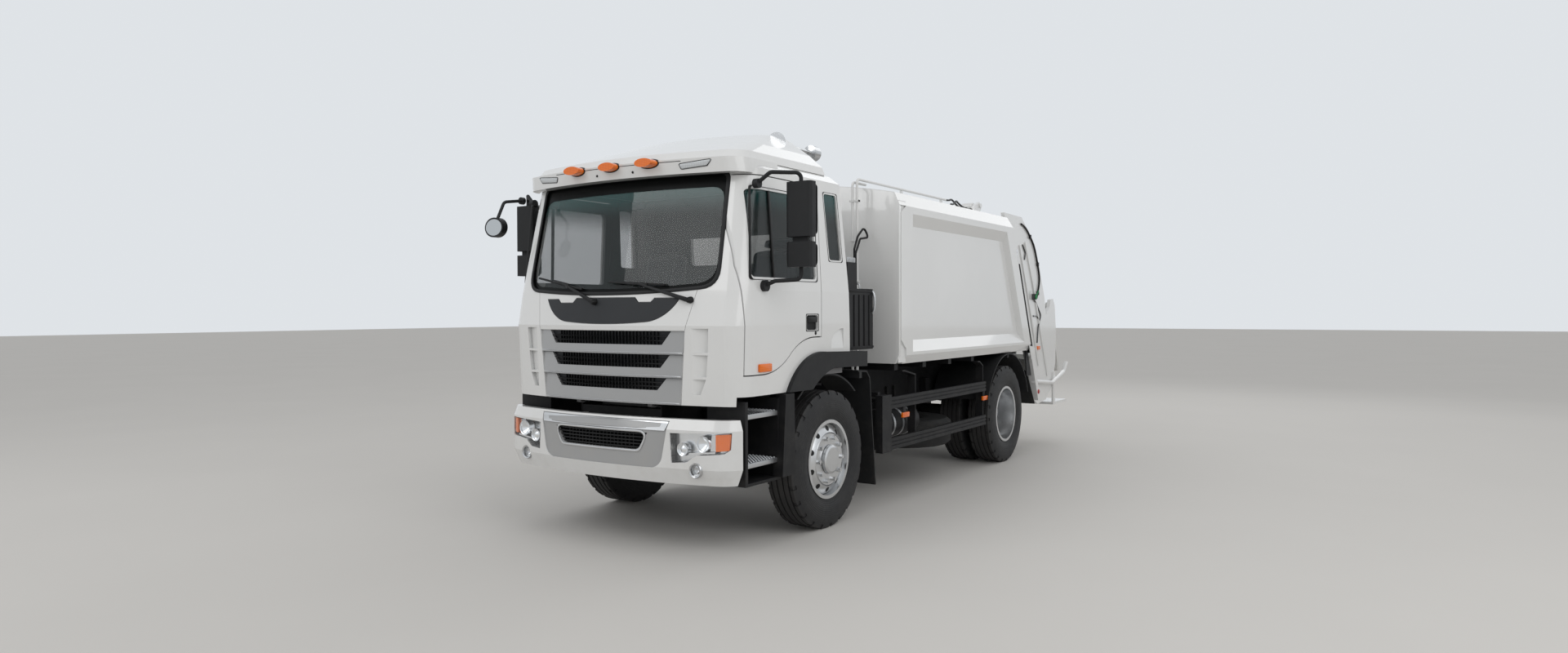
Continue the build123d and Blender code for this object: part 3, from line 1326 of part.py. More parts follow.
with BuildPart() as body_roof:
    with BuildSketch(front_view(body_front_y)):
        with BuildLine():
            Polyline((-shoulder_inner_x + 20, shoulder_z), (-body_half_width, shoulder_z),
                     (-body_half_width + 50, shoulder_top_z))
            ThreePointArc((-body_half_width + 50, shoulder_top_z), (0, crown_z), (body_half_width - 50, shoulder_top_z))
            Polyline((body_half_width - 50, shoulder_top_z), (body_half_width, shoulder_z),
                     (shoulder_inner_x - 20, shoulder_z), (shoulder_inner_x - 20, shoulder_top_z - 60))
            ThreePointArc((shoulder_inner_x - 20, shoulder_top_z - 60), (0, crown_z - body_sheet),
                          (-shoulder_inner_x + 20, shoulder_top_z - 60))
            Line((-shoulder_inner_x + 20, shoulder_top_z - 60), (-shoulder_inner_x + 20, shoulder_z))
        make_face()
    extrude(amount=-3000)
    split(bisect_by=seam_plane(0), keep=Keep.BOTTOM)
    for side in (-1, 1):
        for x in (560, 800):
            prism(side_view(side * x - 15), [(hinge_y - 180, 2700), (hinge_y - 160, 2790), (hinge_y - 20, 2850),
                                             (hinge_y + 45, 2820), (hinge_y + 40, 2780), (hinge_y - 40, 2700)], 30)
            disc(side_view(side * x - 16), (hinge_y, hinge_z), hinge_pin_radius + running_clearance, 32, Mode.SUBTRACT)
    # saddles under the roof pipe
    for y in (1750, 2650):
        block((conduit_x[1] - 12, conduit_x[1] + 12), (front_axle_y + y - 10, front_axle_y + y + 10),
              (shoulder_top_z + 30, roof_pipe_z - conduit_radius))
write(body_roof, "body_roof")

with BuildPart() as body_front_wall:
    block((-body_half_width + body_side_thickness, body_half_width - body_side_thickness),
          (body_front_y, body_front_y + body_sheet), (body_floor_z + body_floor_thickness, shoulder_z))
    block((-shoulder_inner_x + 20, shoulder_inner_x - 20), (body_front_y, body_front_y + body_sheet),
          (shoulder_z, shoulder_top_z - 70))
write(body_front_wall, "body_front_wall")

# ================================================================ tailgate
blade_pivot_low = seam_point(blade_hinge_n, blade_hinge_s)
carriage_travel = 600.0
carriage_s = blade_hinge_s + carriage_travel
blade_pivot = seam_point(blade_hinge_n, carriage_s)
plate_outline = [seam_point(tailgate_gap, -560), seam_point(tailgate_gap, seam_length + 25),
                 (front_axle_y + 4320, 2720), (front_axle_y + 4780, 2430), (front_axle_y + 4960, 2150),
                 (front_axle_y + 5140, 1810), (front_axle_y + 5200, 1600), (front_axle_y + 5340, 1700),
                 (front_axle_y + 5380, 1790), (front_axle_y + 5470, 1800), (front_axle_y + 5540, 1720),
                 (front_axle_y + 5590, 1400), (front_axle_y + 5570, 1000), (front_axle_y + 5440, 720),
                 (front_axle_y + 5200, 570), (front_axle_y + 4900, 540)]
lifter_pivot = (front_axle_y + 5450, 1705.0)

gate_hose_x = tailgate_half_width + 6
with BuildPart() as tailgate_sides:
    for side in (-1, 1):
        x = side * tailgate_inner_x
        prism(side_view(x), plate_outline, side * tailgate_plate)
        # guide strips for the packer carriage
        for n in (blade_hinge_n - 75, blade_hinge_n + 45):
            prism(side_view(x), [seam_point(n, blade_hinge_s + 40), seam_point(n + 25, blade_hinge_s + 40),
                                 seam_point(n + 25, 1300), seam_point(n, 1300)], -side * 25)
        disc(side_view(x - side * 20), lifter_pivot, 24, side * 60)
        # doubler behind the lift rod's eye
        disc(side_view(side * tailgate_half_width), lift_high, 42, side * 8)
        # band down the front edge, below the lift cylinder's foot
        prism(side_view(side * tailgate_half_width), [seam_point(14, -560), seam_point(14, 20), seam_point(90, 20),
                                                      seam_point(90, -540)], side * 55)
    # hydraulic hoses from the valve to the hopper, clipped along the left side
    block((tailgate_half_width - 5, tailgate_half_width + 40), (front_axle_y + 4670, front_axle_y + 4730), (1780, 1850))
    pipe([(gate_hose_x, front_axle_y + 4700, 1800), (gate_hose_x, front_axle_y + 4800, 1750), (gate_hose_x, front_axle_y + 4985, 1600),
          (gate_hose_x, front_axle_y + 4880, 1450), (gate_hose_x, front_axle_y + 4850, 1270)], 9, 40)
    pipe([(gate_hose_x, front_axle_y + 4710, 1590), (gate_hose_x, front_axle_y + 4840, 1590), (gate_hose_x, front_axle_y + 4930, 1530)],
         9, 30)
    pipe([(gate_hose_x, front_axle_y + 4337, 2406), (gate_hose_x, front_axle_y + 4430, 2320), (gate_hose_x, front_axle_y + 4400, 2240)],
         9, 30)
    # side rails, step plates and their brackets
    for side in (-1, 1):
        x = side * 1100
        pipe([(x, front_axle_y + 4640, 830), (x, front_axle_y + 5340, 770), (x, front_axle_y + 5800, 880),
              (x, front_axle_y + 5920, 990)], 25, 60)
        for y, z in ((4900, 800), (5300, 775)):
            block(sorted((side * tailgate_half_width, side * 1100)), (front_axle_y + y - 25, front_axle_y + y + 25),
                  (z - 20, z + 20))
        block(sorted((side * 700, side * 1090)), (front_axle_y + 5420, front_axle_y + 5950), (490, 520))
        block(sorted((side * tailgate_half_width, side * (tailgate_half_width + 20))),
              (front_axle_y + 5420, front_axle_y + 5500), (500, 900))
write(tailgate_sides, "tailgate_sides")

with BuildPart() as tailgate_cover:
    cover_path = [(hinge_y + 130, 2690), (front_axle_y + 4315, 2705), (front_axle_y + 4770, 2415),
                  (front_axle_y + 4945, 2140), (front_axle_y + 5110, 1830)]
    prism(side_view(-tailgate_inner_x), strip(cover_path, -tailgate_plate), 2 * tailgate_inner_x)
    # hinge arms to the pins on the roof
    for side in (-1, 1):
        prism(side_view(side * 680 - 60), [(hinge_y - 35, hinge_z - 20), (hinge_y, hinge_z + 38),
                                           (hinge_y + 180, hinge_z - 20), (hinge_y + 260, 2680),
                                           (hinge_y + 140, 2680), (hinge_y + 90, hinge_z - 60)], 120)
        disc(side_view(side * 680 - 60), (hinge_y, hinge_z), 38, 120)
        disc(side_view(side * 680 - 150), (hinge_y, hinge_z), hinge_pin_radius, 300)
write(tailgate_cover, "tailgate_cover")

with BuildPart() as tailgate_hopper:
    with BuildSketch(side_view(-tailgate_inner_x)) as trough:
        with Locations(blade_pivot_low):
            Circle(trough_radius + trough_sheet)
            Circle(trough_radius, mode=Mode.SUBTRACT)


    extrude(trough.sketch, amount=2 * tailgate_inner_x)
    split(bisect_by=seam_plane(tailgate_gap), keep=Keep.TOP)
    split(bisect_by=Plane.XY.offset(sill_z), keep=Keep.BOTTOM)
    prism(side_view(-tailgate_inner_x), [seam_point(tailgate_gap, -590), seam_point(tailgate_gap, -20),
                                         seam_point(tailgate_gap + 25, -20), seam_point(tailgate_gap + 25, -560)],
          2 * tailgate_inner_x)
    sill_reach = (trough_radius - 8) ** 2 - (blade_pivot_low[1] - sill_z - sill_height) ** 2
    block((-tailgate_inner_x, tailgate_inner_x), (blade_pivot_low[0] + sill_reach**0.5, blade_pivot_low[0] + 730),
          (sill_z, sill_z + sill_height))
write(tailgate_hopper, "tailgate_hopper")


with BuildPart() as packer_slide:
    prism(side_view(-900), seam_box(blade_hinge_n - 30, blade_hinge_n + 30, carriage_s + 70, carriage_s + 660), 1800)
    for side in (-1, 1):
        prism(side_view(side * 880), seam_box(blade_hinge_n - 44, blade_hinge_n + 39, carriage_s + 60, carriage_s + 660),
              side * (carriage_half_width - 880))
        prism(side_view(side * 940), seam_box(blade_hinge_n - 44, blade_hinge_n + 39, carriage_s - 60, carriage_s + 100),
              side * (blade_half_width - 940))
        disc(side_view(side * 940), blade_pivot, 26 + running_clearance, side * 70, Mode.SUBTRACT)
write(packer_slide, "packer_slide")


def along_blade(reach, depth):
    """(Y, Z) of a point reach out along the blade at rest and depth to its front."""
    angle = radians(blade_rest_angle)
    return (blade_pivot[0] + reach * cos(angle) - depth * sin(angle),
            blade_pivot[1] + reach * sin(angle) + depth * cos(angle))


with BuildPart() as packer_blade:
    prism(side_view(-925), [along_blade(-20, -30), along_blade(560, -40), along_blade(blade_length, -20),
                            along_blade(blade_length, 10), along_blade(560, 50), along_blade(-20, 30)], 1850)
    disc(side_view(-925), blade_pivot, 45, 1850)
    for side in (-1, 1):
        disc(side_view(side * 925), blade_pivot, 26, side * 75)
write(packer_blade, "packer_blade")

with BuildPart() as bin_lifter:
    py, pz = lifter_pivot
    for side in (-1, 1):
        prism(side_view(side * 985), [(py - 45, pz), (py, pz + 50), (py + 50, pz + 10), (py + 330, pz - 340),
                                      (py + 440, pz - 720), (py + 440, pz - 820), (py + 370, pz - 820),
                                      (py + 370, pz - 720), (py + 260, pz - 370), (py - 20, pz - 50)], side * 30)
        disc(side_view(side * 984), lifter_pivot, 24 + running_clearance, side * 32, Mode.SUBTRACT)
    block((-985, 985), (py + 380, py + 440), (pz - 820, pz - 700))
write(bin_lifter, "bin_lifter")

# ================================================================ tailgate lift cylinders
lift_tube_radius = 30.0
lift_rod_radius = 18.0
lift_tube_end = 1150.0


def along_seam(start_s):
    """Plane square to the cylinders' line, start_s up the seam, seen from below."""
    y, z = seam_point(60, start_s)
    return Plane(origin=(0, y, z), x_dir=(1, 0, 0), z_dir=(0, seam_s[0], seam_s[1]))


for side, name in ((1, "left"), (-1, "right")):
    with BuildPart() as barrel:
        disc(along_seam(85), (side * lift_x, 0), lift_tube_radius, lift_tube_end - 85)
        disc(side_view(side * (lift_x - 27)), lift_low, 34, side * 54)
        disc(along_seam(130), (side * lift_x, 0), lift_rod_radius + running_clearance, lift_tube_end, Mode.SUBTRACT)
        disc(side_view(side * (lift_x - 32)), lift_low, lift_pin_radius + running_clearance, side * 64, Mode.SUBTRACT)
    write(barrel, f"lift_barrel_{name}")
    with BuildPart() as rod:
        disc(along_seam(150), (side * lift_x, 0), lift_rod_radius, 1300 - 150)
        disc(side_view(side * (lift_x - 20)), lift_high, 34, side * 40)
        disc(side_view(side * (lift_x - 24)), lift_high, 14, side * 48)
    write(rod, f"lift_rod_{name}")
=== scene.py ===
import math

import bpy
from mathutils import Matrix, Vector


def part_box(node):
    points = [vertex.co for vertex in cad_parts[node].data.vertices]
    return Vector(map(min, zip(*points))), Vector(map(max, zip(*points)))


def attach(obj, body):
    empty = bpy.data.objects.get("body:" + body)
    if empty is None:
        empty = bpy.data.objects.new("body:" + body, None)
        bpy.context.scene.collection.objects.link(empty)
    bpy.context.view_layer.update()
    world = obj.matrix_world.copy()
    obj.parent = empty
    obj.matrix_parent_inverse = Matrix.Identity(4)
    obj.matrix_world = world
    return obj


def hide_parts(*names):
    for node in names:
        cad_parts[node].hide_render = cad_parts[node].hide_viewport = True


# Rear-loading refuse truck: finishes, lamps, glass, trim, hoses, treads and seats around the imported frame.
# Metres. X points to the truck's left, Y to its rear, Z up. Lengthwise places are taken from the front axle.

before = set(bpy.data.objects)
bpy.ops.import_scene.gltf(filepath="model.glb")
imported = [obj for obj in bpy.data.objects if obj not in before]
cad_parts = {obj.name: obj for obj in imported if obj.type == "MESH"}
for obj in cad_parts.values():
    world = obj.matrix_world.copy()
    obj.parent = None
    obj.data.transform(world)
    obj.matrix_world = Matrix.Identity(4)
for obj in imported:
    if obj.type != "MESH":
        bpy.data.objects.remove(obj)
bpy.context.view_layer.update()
print("frame loaded:", len(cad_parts), "nodes")

frontAxle = -2.275
rearAxle = 1.525
wheelRadius = 0.525
sides = ("left", "right")

# camera, floor and light

cameraPlace = {"place": (4.762, -8.541, 1.659), "yaw": 0.58, "pitch": -0.0163, "roll": 0.003, "lens": 21.86}
light = {"key": 290, "fill": 270, "rear": 150, "sky": 0.62, "floor": (0.62, 0.605, 0.58)}


def deselect():
    if bpy.context.mode != "OBJECT":
        bpy.ops.object.mode_set(mode="OBJECT")
    bpy.ops.object.select_all(action="DESELECT")


def setCamera():
    deselect()
    turn = (math.pi / 2 + cameraPlace["pitch"], cameraPlace["roll"], cameraPlace["yaw"])
    bpy.ops.object.camera_add(location=cameraPlace["place"], rotation=turn)
    camera = bpy.context.object
    camera.data.lens = cameraPlace["lens"]
    camera.data.sensor_width = 36
    camera.data.clip_end = 400
    bpy.context.scene.camera = camera


def softLamp(place, aim, size, power):
    deselect()
    bpy.ops.object.light_add(type="AREA", location=place)
    lamp = bpy.context.object
    lamp.data.size = size
    lamp.data.energy = power
    lamp.rotation_euler = (Vector(aim) - Vector(place)).to_track_quat("-Z", "Y").to_euler()


setCamera()
bpy.context.scene.view_settings.view_transform = "Standard"

# shader maths


class Wire:  # an output socket, whose arithmetic adds Math nodes
    def __init__(self, finish, socket):
        self.finish = finish
        self.socket = socket

    def maths(self, operation, first, second=0.0):
        return self.finish.add("ShaderNodeMath", {"operation": operation}, {0: first, 1: second})

    def __add__(self, other):
        return self.maths("ADD", self, other)

    def __radd__(self, other):
        return self.maths("ADD", other, self)

    def __sub__(self, other):
        return self.maths("SUBTRACT", self, other)

    def __rsub__(self, other):
        return self.maths("SUBTRACT", other, self)

    def __mul__(self, other):
        return self.maths("MULTIPLY", self, other)

    def __rmul__(self, other):
        return self.maths("MULTIPLY", other, self)

    def __pow__(self, other):
        return self.maths("POWER", self, other)

    def __gt__(self, other):
        return self.maths("GREATER_THAN", self, other)

    def __lt__(self, other):
        return self.maths("LESS_THAN", self, other)

    def size(self):
        return self.maths("ABSOLUTE", self)

    def larger(self, other):
        return self.maths("MAXIMUM", self, other)

    def ramp(self, low, high, start=0.0, end=1.0):
        return self.finish.add(
            "ShaderNodeMapRange",
            {"interpolation_type": "SMOOTHSTEP"},
            {0: self, 1: low, 2: high, 3: start, 4: end},
        )


class Finish:  # a material and its shader nodes
    def __init__(self, name, colour, rough=0.5, metal=0.0, coat=0.0):
        self.material = bpy.data.materials.new(name)
        self.material.use_nodes = True
        self.tree = self.material.node_tree
        self.shader = self.tree.nodes["Principled BSDF"]
        self.place = self.add("ShaderNodeTexCoord", out="Object")
        self.set("Base Color", colour)
        self.set("Roughness", rough)
        self.set("Metallic", metal)
        self.set("Coat Weight", coat)

    def add(self, kind, settings=None, inputs=None, out=0):
        node = self.tree.nodes.new(kind)
        for key, value in (settings or {}).items():
            setattr(node, key, value)
        for key, value in (inputs or {}).items():
            self.feed(node.inputs[key], value)
        return Wire(self, node.outputs[out])

    def feed(self, socket, value):
        if isinstance(value, Wire):
            self.tree.links.new(value.socket, socket)
        elif socket.type == "RGBA" and len(value) == 3:
            socket.default_value = (*value, 1)
        else:
            socket.default_value = value

    def set(self, name, value):
        self.feed(self.shader.inputs[name], value)

    def axis(self, name):
        return self.add("ShaderNodeSeparateXYZ", inputs={0: self.place}, out=name)

    def noise(self, scale, detail=3.0, rough=0.5):
        return self.add("ShaderNodeTexNoise", inputs={"Vector": self.place, "Scale": scale, "Detail": detail,
                                                      "Roughness": rough})

    def blend(self, mask, first, second):
        return self.add("ShaderNodeMix", {"data_type": "RGBA"}, {0: mask, 6: first, 7: second}, out=2)

    def over(self, mask, colour):  # another colour over the base colour, where mask is 1
        tone = self.shader.inputs["Base Color"].links[0].from_socket
        self.set("Base Color", self.blend(mask, Wire(self, tone), colour))

    def holes(self, scale, width):  # rows of round holes
        return self.add("ShaderNodeTexVoronoi", {}, {"Vector": self.place, "Scale": scale,
                                                     "Randomness": 0.0}) < width

    def bump(self, height, strength, distance):
        self.set("Normal", self.add("ShaderNodeBump", inputs={"Height": height, "Strength": strength,
                                                              "Distance": distance}))


# finishes

dust = (0.42, 0.39, 0.34)


def paint(name, colour, rough=0.28, coat=1.0):  # lacquer, a little cloudy, with a film of dust low down
    finish = Finish(name, colour, coat=coat)
    cloudy = finish.noise(1.3, 4)
    film = finish.axis("Z").ramp(1.5, 0.35) * finish.noise(6, 6, 0.6).ramp(0.35, 0.8) * 0.22
    tone = finish.blend(cloudy.ramp(0.3, 0.7), tuple(c * 0.965 for c in colour), colour)
    finish.set("Base Color", finish.blend(film, tone, dust))
    finish.set("Roughness", rough + film * 0.5 + finish.noise(40, 2) * 0.03)
    finish.set("Coat Roughness", 0.06)
    finish.bump(finish.noise(180, 1), 0.03, 0.0006)
    return finish


def moulded(name, colour, rough=0.55, grain=900, gloss=0.3):  # grained plastic, rubber or satin black
    finish = Finish(name, colour)
    finish.set("Specular IOR Level", gloss)
    speck = finish.noise(grain, 2)
    film = finish.axis("Z").ramp(1.6, 0.3) * finish.noise(9, 6, 0.65).ramp(0.4, 0.85) * 0.05
    tone = finish.blend(finish.noise(3, 4), tuple(c * 0.8 for c in colour), tuple(c * 1.15 for c in colour))
    finish.set("Base Color", finish.blend(film, tone, dust))
    finish.set("Roughness", rough + finish.noise(14, 4) * 0.12)
    finish.bump(speck, 0.25, 0.0008)
    return finish


def metalFinish(name, colour, rough=0.2, metal=1.0):  # bare metal with grain and stains
    finish = Finish(name, colour, metal=metal)
    grain = finish.noise(60, 4, 0.6)
    stain = finish.noise(5, 5, 0.6).ramp(0.45, 0.8)
    finish.set("Base Color", finish.blend(stain * 0.35, colour, tuple(c * 0.72 for c in colour)))
    finish.set("Roughness", rough + grain * 0.12 + stain * 0.08)
    finish.bump(grain, 0.05, 0.0005)
    return finish


def glassFinish(name, colour, alpha, rough=0.02):
    finish = Finish(name, colour, rough)
    finish.set("Alpha", alpha)
    finish.set("Specular IOR Level", 0.8)
    finish.material.surface_render_method = "BLENDED"
    return finish


white = (0.74, 0.745, 0.74)
treadGrey = (0.56, 0.57, 0.58)
whitePaint = paint("whitePaint", white)


def cabFinish():  # white outside, grey lining on the walls' inner faces
    finish = paint("cabPaint", white)
    across = finish.axis("X").size()
    height = finish.axis("Z") - 1.8
    lean = height.larger(0)
    back = finish.axis("Y") - frontAxle
    nose = back - across * across * 0.122 - lean * 0.208
    within = (across + lean * 0.0536) < 1.08
    behindNose = (nose > -1.05).larger((across < 0.88) * (nose > -1.262))
    beforeRear = (back + lean * 0.083) < 0.218
    inside = within * behindNose * beforeRear * ((height > -0.6) * (height < 0.835))
    finish.over(inside, (0.085, 0.087, 0.092))
    return finish


def gateFinish():  # white plates, black hoses and valve on the left side, holes in the steps
    finish = paint("gatePaint", white)
    back = finish.axis("Y") - frontAxle
    height = finish.axis("Z")
    low = (back > 4.665) * (back < 5.0) * ((height > 1.26) * (height < 1.86))
    high = (back > 4.33) * (back < 4.445) * ((height > 2.23) * (height < 2.42))
    hose = (finish.axis("X") > 1.0708) * (low + high)
    step = (back > 5.45) * ((height < 0.523) * (finish.axis("X").size() < 1.08))
    finish.over(hose.larger(finish.holes(26, 0.3) * step), (0.008, 0.008, 0.009))
    return finish


def treadFinish():  # open-grip plate with rows of holes
    finish = metalFinish("gripTread", treadGrey, 0.38)
    finish.over(finish.holes(34, 0.27), (0.02, 0.02, 0.021))
    return finish


def mirrorHeadFinish():  # black head with a bright convex face
    finish = moulded("mirrorHead", (0.010, 0.0105, 0.0115), 0.42)
    x = (finish.axis("X") + 1.045) * (1 / 0.088)
    z = (finish.axis("Z") - 2.3) * (1 / 0.062)
    face = ((x * x + z * z) < 1) * (finish.axis("Y") < frontAxle - 1.4185)  # an oval on its front
    finish.over(face, (0.55, 0.57, 0.58))
    finish.set("Metallic", face)
    finish.set("Roughness", 0.42 - face * 0.36)
    return finish


gripTread = treadFinish()
mirrorHead = mirrorHeadFinish()
cabPaint = cabFinish()
gatePaint = gateFinish()
hopperPaint = paint("hopperPaint", (0.62, 0.62, 0.60), 0.42, 0.4)
silverPaint = paint("silverPaint", (0.34, 0.345, 0.35), 0.34, 0.8)
chassisBlack = moulded("chassisBlack", (0.009, 0.009, 0.010), 0.5, 300)
darkPlastic = moulded("darkPlastic", (0.013, 0.0135, 0.0145), 0.5)
noseGrey = moulded("noseGrey", (0.022, 0.024, 0.027), 0.4)
gasket = moulded("gasket", (0.006, 0.006, 0.0065), 0.42, 1400)
frit = moulded("frit", (0.002, 0.0025, 0.0025), 0.3, 60, 0.1)
alloy = metalFinish("polishedAlloy", (0.66, 0.665, 0.67), 0.24)
chrome = metalFinish("chrome", (0.56, 0.565, 0.57), 0.12)
brightBowl = metalFinish("brightBowl", (0.86, 0.87, 0.88), 0.16)
roadGreen = moulded("valveGreen", (0.02, 0.22, 0.07), 0.45)
castMetal = metalFinish("castMetal", (0.10, 0.10, 0.10), 0.5, 0.6)
rodSteel = metalFinish("rodSteel", (0.78, 0.78, 0.78), 0.12)
treadPlate = metalFinish("treadPlate", treadGrey, 0.38)
mirrorGlass = metalFinish("mirrorGlass", (0.92, 0.93, 0.94), 0.02)
cabGrey = moulded("cabGrey", (0.20, 0.20, 0.205), 0.7)
dashPlastic = moulded("dashPlastic", (0.045, 0.046, 0.05), 0.6)


def lensFinish(name, colour, deep, alpha=1.0):  # moulded lens with fine upright ribs
    finish = Finish(name, colour, 0.2, coat=0.3)
    ribs = finish.add("ShaderNodeTexWave", {"bands_direction": "X"}, {"Vector": finish.place, "Scale": 28.0})
    cells = finish.add("ShaderNodeTexWave", {"bands_direction": "Z"}, {"Vector": finish.place, "Scale": 36.0})
    finish.set("Base Color", finish.blend(ribs * cells, deep, colour))
    finish.bump(ribs + cells, 0.3, 0.0015)
    finish.set("Alpha", alpha)
    return finish


amber = lensFinish("amberLens", (1.0, 0.25, 0.0), (0.75, 0.13, 0.0))
redLens = lensFinish("redLens", (0.62, 0.012, 0.008), (0.30, 0.004, 0.003))
clearLens = lensFinish("clearLens", (0.78, 0.80, 0.81), (0.50, 0.53, 0.55))
lampCover = glassFinish("lampCover", (0.80, 0.83, 0.85), 0.05)


def windowFinish():  # grey-green glass with a deeper green band under the top edge
    finish = Finish("tintedGlass", (0.03, 0.045, 0.045), 0.02)
    band = finish.axis("Z").ramp(2.30, 2.56)
    finish.set("Base Color", finish.blend(band, (0.028, 0.040, 0.040), (0.006, 0.085, 0.080)))
    finish.set("Alpha", 0.26 + band * 0.40)
    finish.set("Specular IOR Level", 0.8)
    finish.material.surface_render_method = "BLENDED"
    return finish


def rubberFinish():  # tyre rubber: rings and fine radial ribs on the sidewalls, dust on the tread
    finish = Finish("tyreRubber", (0.02, 0.02, 0.02), 0.66)
    height = finish.axis("Z") - wheelRadius
    along = finish.axis("Y")
    nearFront = (along - frontAxle).size()
    nearRear = (along - rearAxle).size()
    reach = nearFront.maths("MINIMUM", nearFront, nearRear)
    radius = (reach * reach + height * height) ** 0.5
    turn = reach.maths("ARCTAN2", height, reach)
    rings = radius.maths("SINE", radius * 420) * (radius < 0.455)
    ribs = turn.maths("SINE", turn * 220) * ((radius > 0.43) * (radius < 0.475))
    grime = finish.noise(7, 6, 0.65).ramp(0.35, 0.8) * 0.14 + radius.ramp(0.500, 0.526) * 0.14
    finish.set("Base Color", finish.blend(grime, (0.010, 0.010, 0.011), (0.075, 0.070, 0.064)))
    finish.set("Roughness", 0.55 + finish.noise(30, 4) * 0.2)
    finish.bump(rings + ribs * 0.6 + finish.noise(400, 2) * 0.4, 0.35, 0.0014)
    return finish


def clothFinish():  # woven seat cloth with a soft sheen
    finish = Finish("seatCloth", (0.075, 0.078, 0.088), 0.9)
    warp = finish.add("ShaderNodeTexWave", {"bands_direction": "X"}, {"Vector": finish.place, "Scale": 210.0})
    weft = finish.add("ShaderNodeTexWave", {"bands_direction": "Z"}, {"Vector": finish.place, "Scale": 210.0})
    weave = warp * 0.5 + weft * 0.5
    tone = finish.blend(finish.noise(5, 4), (0.060, 0.063, 0.072), (0.098, 0.102, 0.115))
    finish.set("Base Color", finish.blend(weave * 0.4, tone, (0.16, 0.165, 0.18)))
    finish.set("Sheen Weight", 0.35)
    finish.bump(weave + finish.noise(60, 4), 0.4, 0.0012)
    return finish


def pipeworkFinish():  # black housings and hose; the roof pipe and its conduit are painted white
    finish = moulded("intakeBlack", (0.010, 0.010, 0.011), 0.42, 500)
    pipes = ((finish.axis("X") - 0.795).size() < 0.042) * (finish.axis("Y") > frontAxle + 0.87)
    finish.set("Base Color", finish.blend(pipes, (0.011, 0.011, 0.012), (0.72, 0.725, 0.72)))
    return finish


glass = windowFinish()
tyreRubber = rubberFinish()
seatCloth = clothFinish()
intakeBlack = pipeworkFinish()
spareRubber = moulded("spareRubber", (0.024, 0.024, 0.024), 0.7, 500)

finishOf = {
    whitePaint: ["cab_roof", "front_bumper", "body_front_wall", "body_roof", "body_sides", "tailgate_cover"],
    cabPaint: ["cab_front", "cab_sides", "cab_rear_wall", "door_left", "door_right"],
    gatePaint: ["tailgate_sides"],
    mirrorHead: ["front_mirror"],
    hopperPaint: ["tailgate_hopper", "packer_blade", "packer_slide", "bin_lifter"],
    silverPaint: ["bumper_insert", "grille"],
    chassisBlack: ["body_floor", "ladder_frame", "leaf_springs", "rear_axle", "front_axle_beam", "side_guards",
                   "entry_steps", "knuckle_left", "knuckle_right", "tie_rod", "tanks", "lift_barrel_left",
                   "lift_barrel_right", "tow_jaw"],
    noseGrey: ["nose_panel"],
    darkPlastic: ["arch_trims", "mudguards", "mirror_left", "mirror_right"],
    intakeBlack: ["air_intake"],
    tyreRubber: ["tyre_front_left", "tyre_front_right", "tyres_rear_left", "tyres_rear_right"],
    spareRubber: ["spare_wheel"],
    alloy: ["rim_front_left", "rim_front_right", "rims_rear_left", "rims_rear_right"],
    chrome: ["air_horn"],
    castMetal: ["drivetrain"],
    rodSteel: ["lift_rod_left", "lift_rod_right"],
    dashPlastic: ["cab_interior"],
    cabGrey: ["cab_floor"],
    amber: ["roof_lamps"],
    clearLens: ["headlamps"],
    glass: ["windscreen", "cab_glass", "door_glass_left", "door_glass_right"],
}
for finish, nodes in finishOf.items():
    for node in nodes:
        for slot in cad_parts[node].material_slots:
            slot.material = finish.material
print("finishes on the frame's nodes")

# modelling helpers

noseBow = 0.15
# rows of height, nose from the front axle, half width
frontForms = {
    "cab": ((1.022, -1.318, 1.096), (1.560, -1.340, 1.100), (1.800, -1.295, 1.100), (2.640, -1.120, 1.055)),
    "bumper": ((0.495, -1.360, 1.075), (0.605, -1.400, 1.100), (0.865, -1.400, 1.100), (0.935, -1.375, 1.090)),
    "visor": ((2.600, -1.235, 1.040), (2.700, -1.250, 1.030), (2.760, -1.170, 0.985), (2.850, -0.900, 0.900)),
}
cornerRadius = {"cab": 0.165, "bumper": 0.2, "visor": 0.165}
axisOf = {"side": 0, "front": 1, "top": 2}


def between(form, z, column):
    levels = frontForms[form]
    for low, high in zip(levels, levels[1:]):
        if z <= high[0]:
            share = max(0, (z - low[0]) / (high[0] - low[0]))
            return low[column] + share * (high[column] - low[column])
    return levels[-1][column]


def frontY(form, x, z, inset=0.0):  # the bowed front with its round corners, inset inwards
    half = between(form, z, 2) - inset
    corner = cornerRadius[form] - inset
    bow = (half**2 + noseBow**2) / (2 * noseBow)
    nose = frontAxle + between(form, z, 1) + inset
    cornerX = half - corner
    if abs(x) < cornerX * bow / (bow - corner):
        return nose + bow - math.sqrt(bow**2 - x * x)
    across = min(abs(x) - cornerX, corner)
    return nose + bow - math.sqrt((bow - corner) ** 2 - cornerX**2) - math.sqrt(corner**2 - across**2)


def sideX(z):
    return between("cab", z, 2)


def rounded(corners, radius, steps=5, runs=1):  # closed outline with round corners and divided straight runs
    count = len(corners)
    radii = radius if isinstance(radius, (list, tuple)) else [radius] * count
    arcs = []
    for index, corner in enumerate(Vector(c) for c in corners):
        before = Vector(corners[index - 1]) - corner
        after = Vector(corners[(index + 1) % count]) - corner
        reach = radii[index] / math.tan(before.angle(after) / 2)
        start = corner + before.normalized() * reach
        end = corner + after.normalized() * reach
        arcs.append([start * (1 - t) ** 2 + corner * 2 * t * (1 - t) + end * t * t
                     for t in (step / steps for step in range(steps + 1))])
    outline = []
    for index, arc in enumerate(arcs):
        following = arcs[(index + 1) % count][0]
        outline += arc + [arc[-1].lerp(following, step / runs) for step in range(1, runs)]
    return outline


def rect(left, low, right, top):
    return [(left, low), (right, low), (right, top), (left, top)]


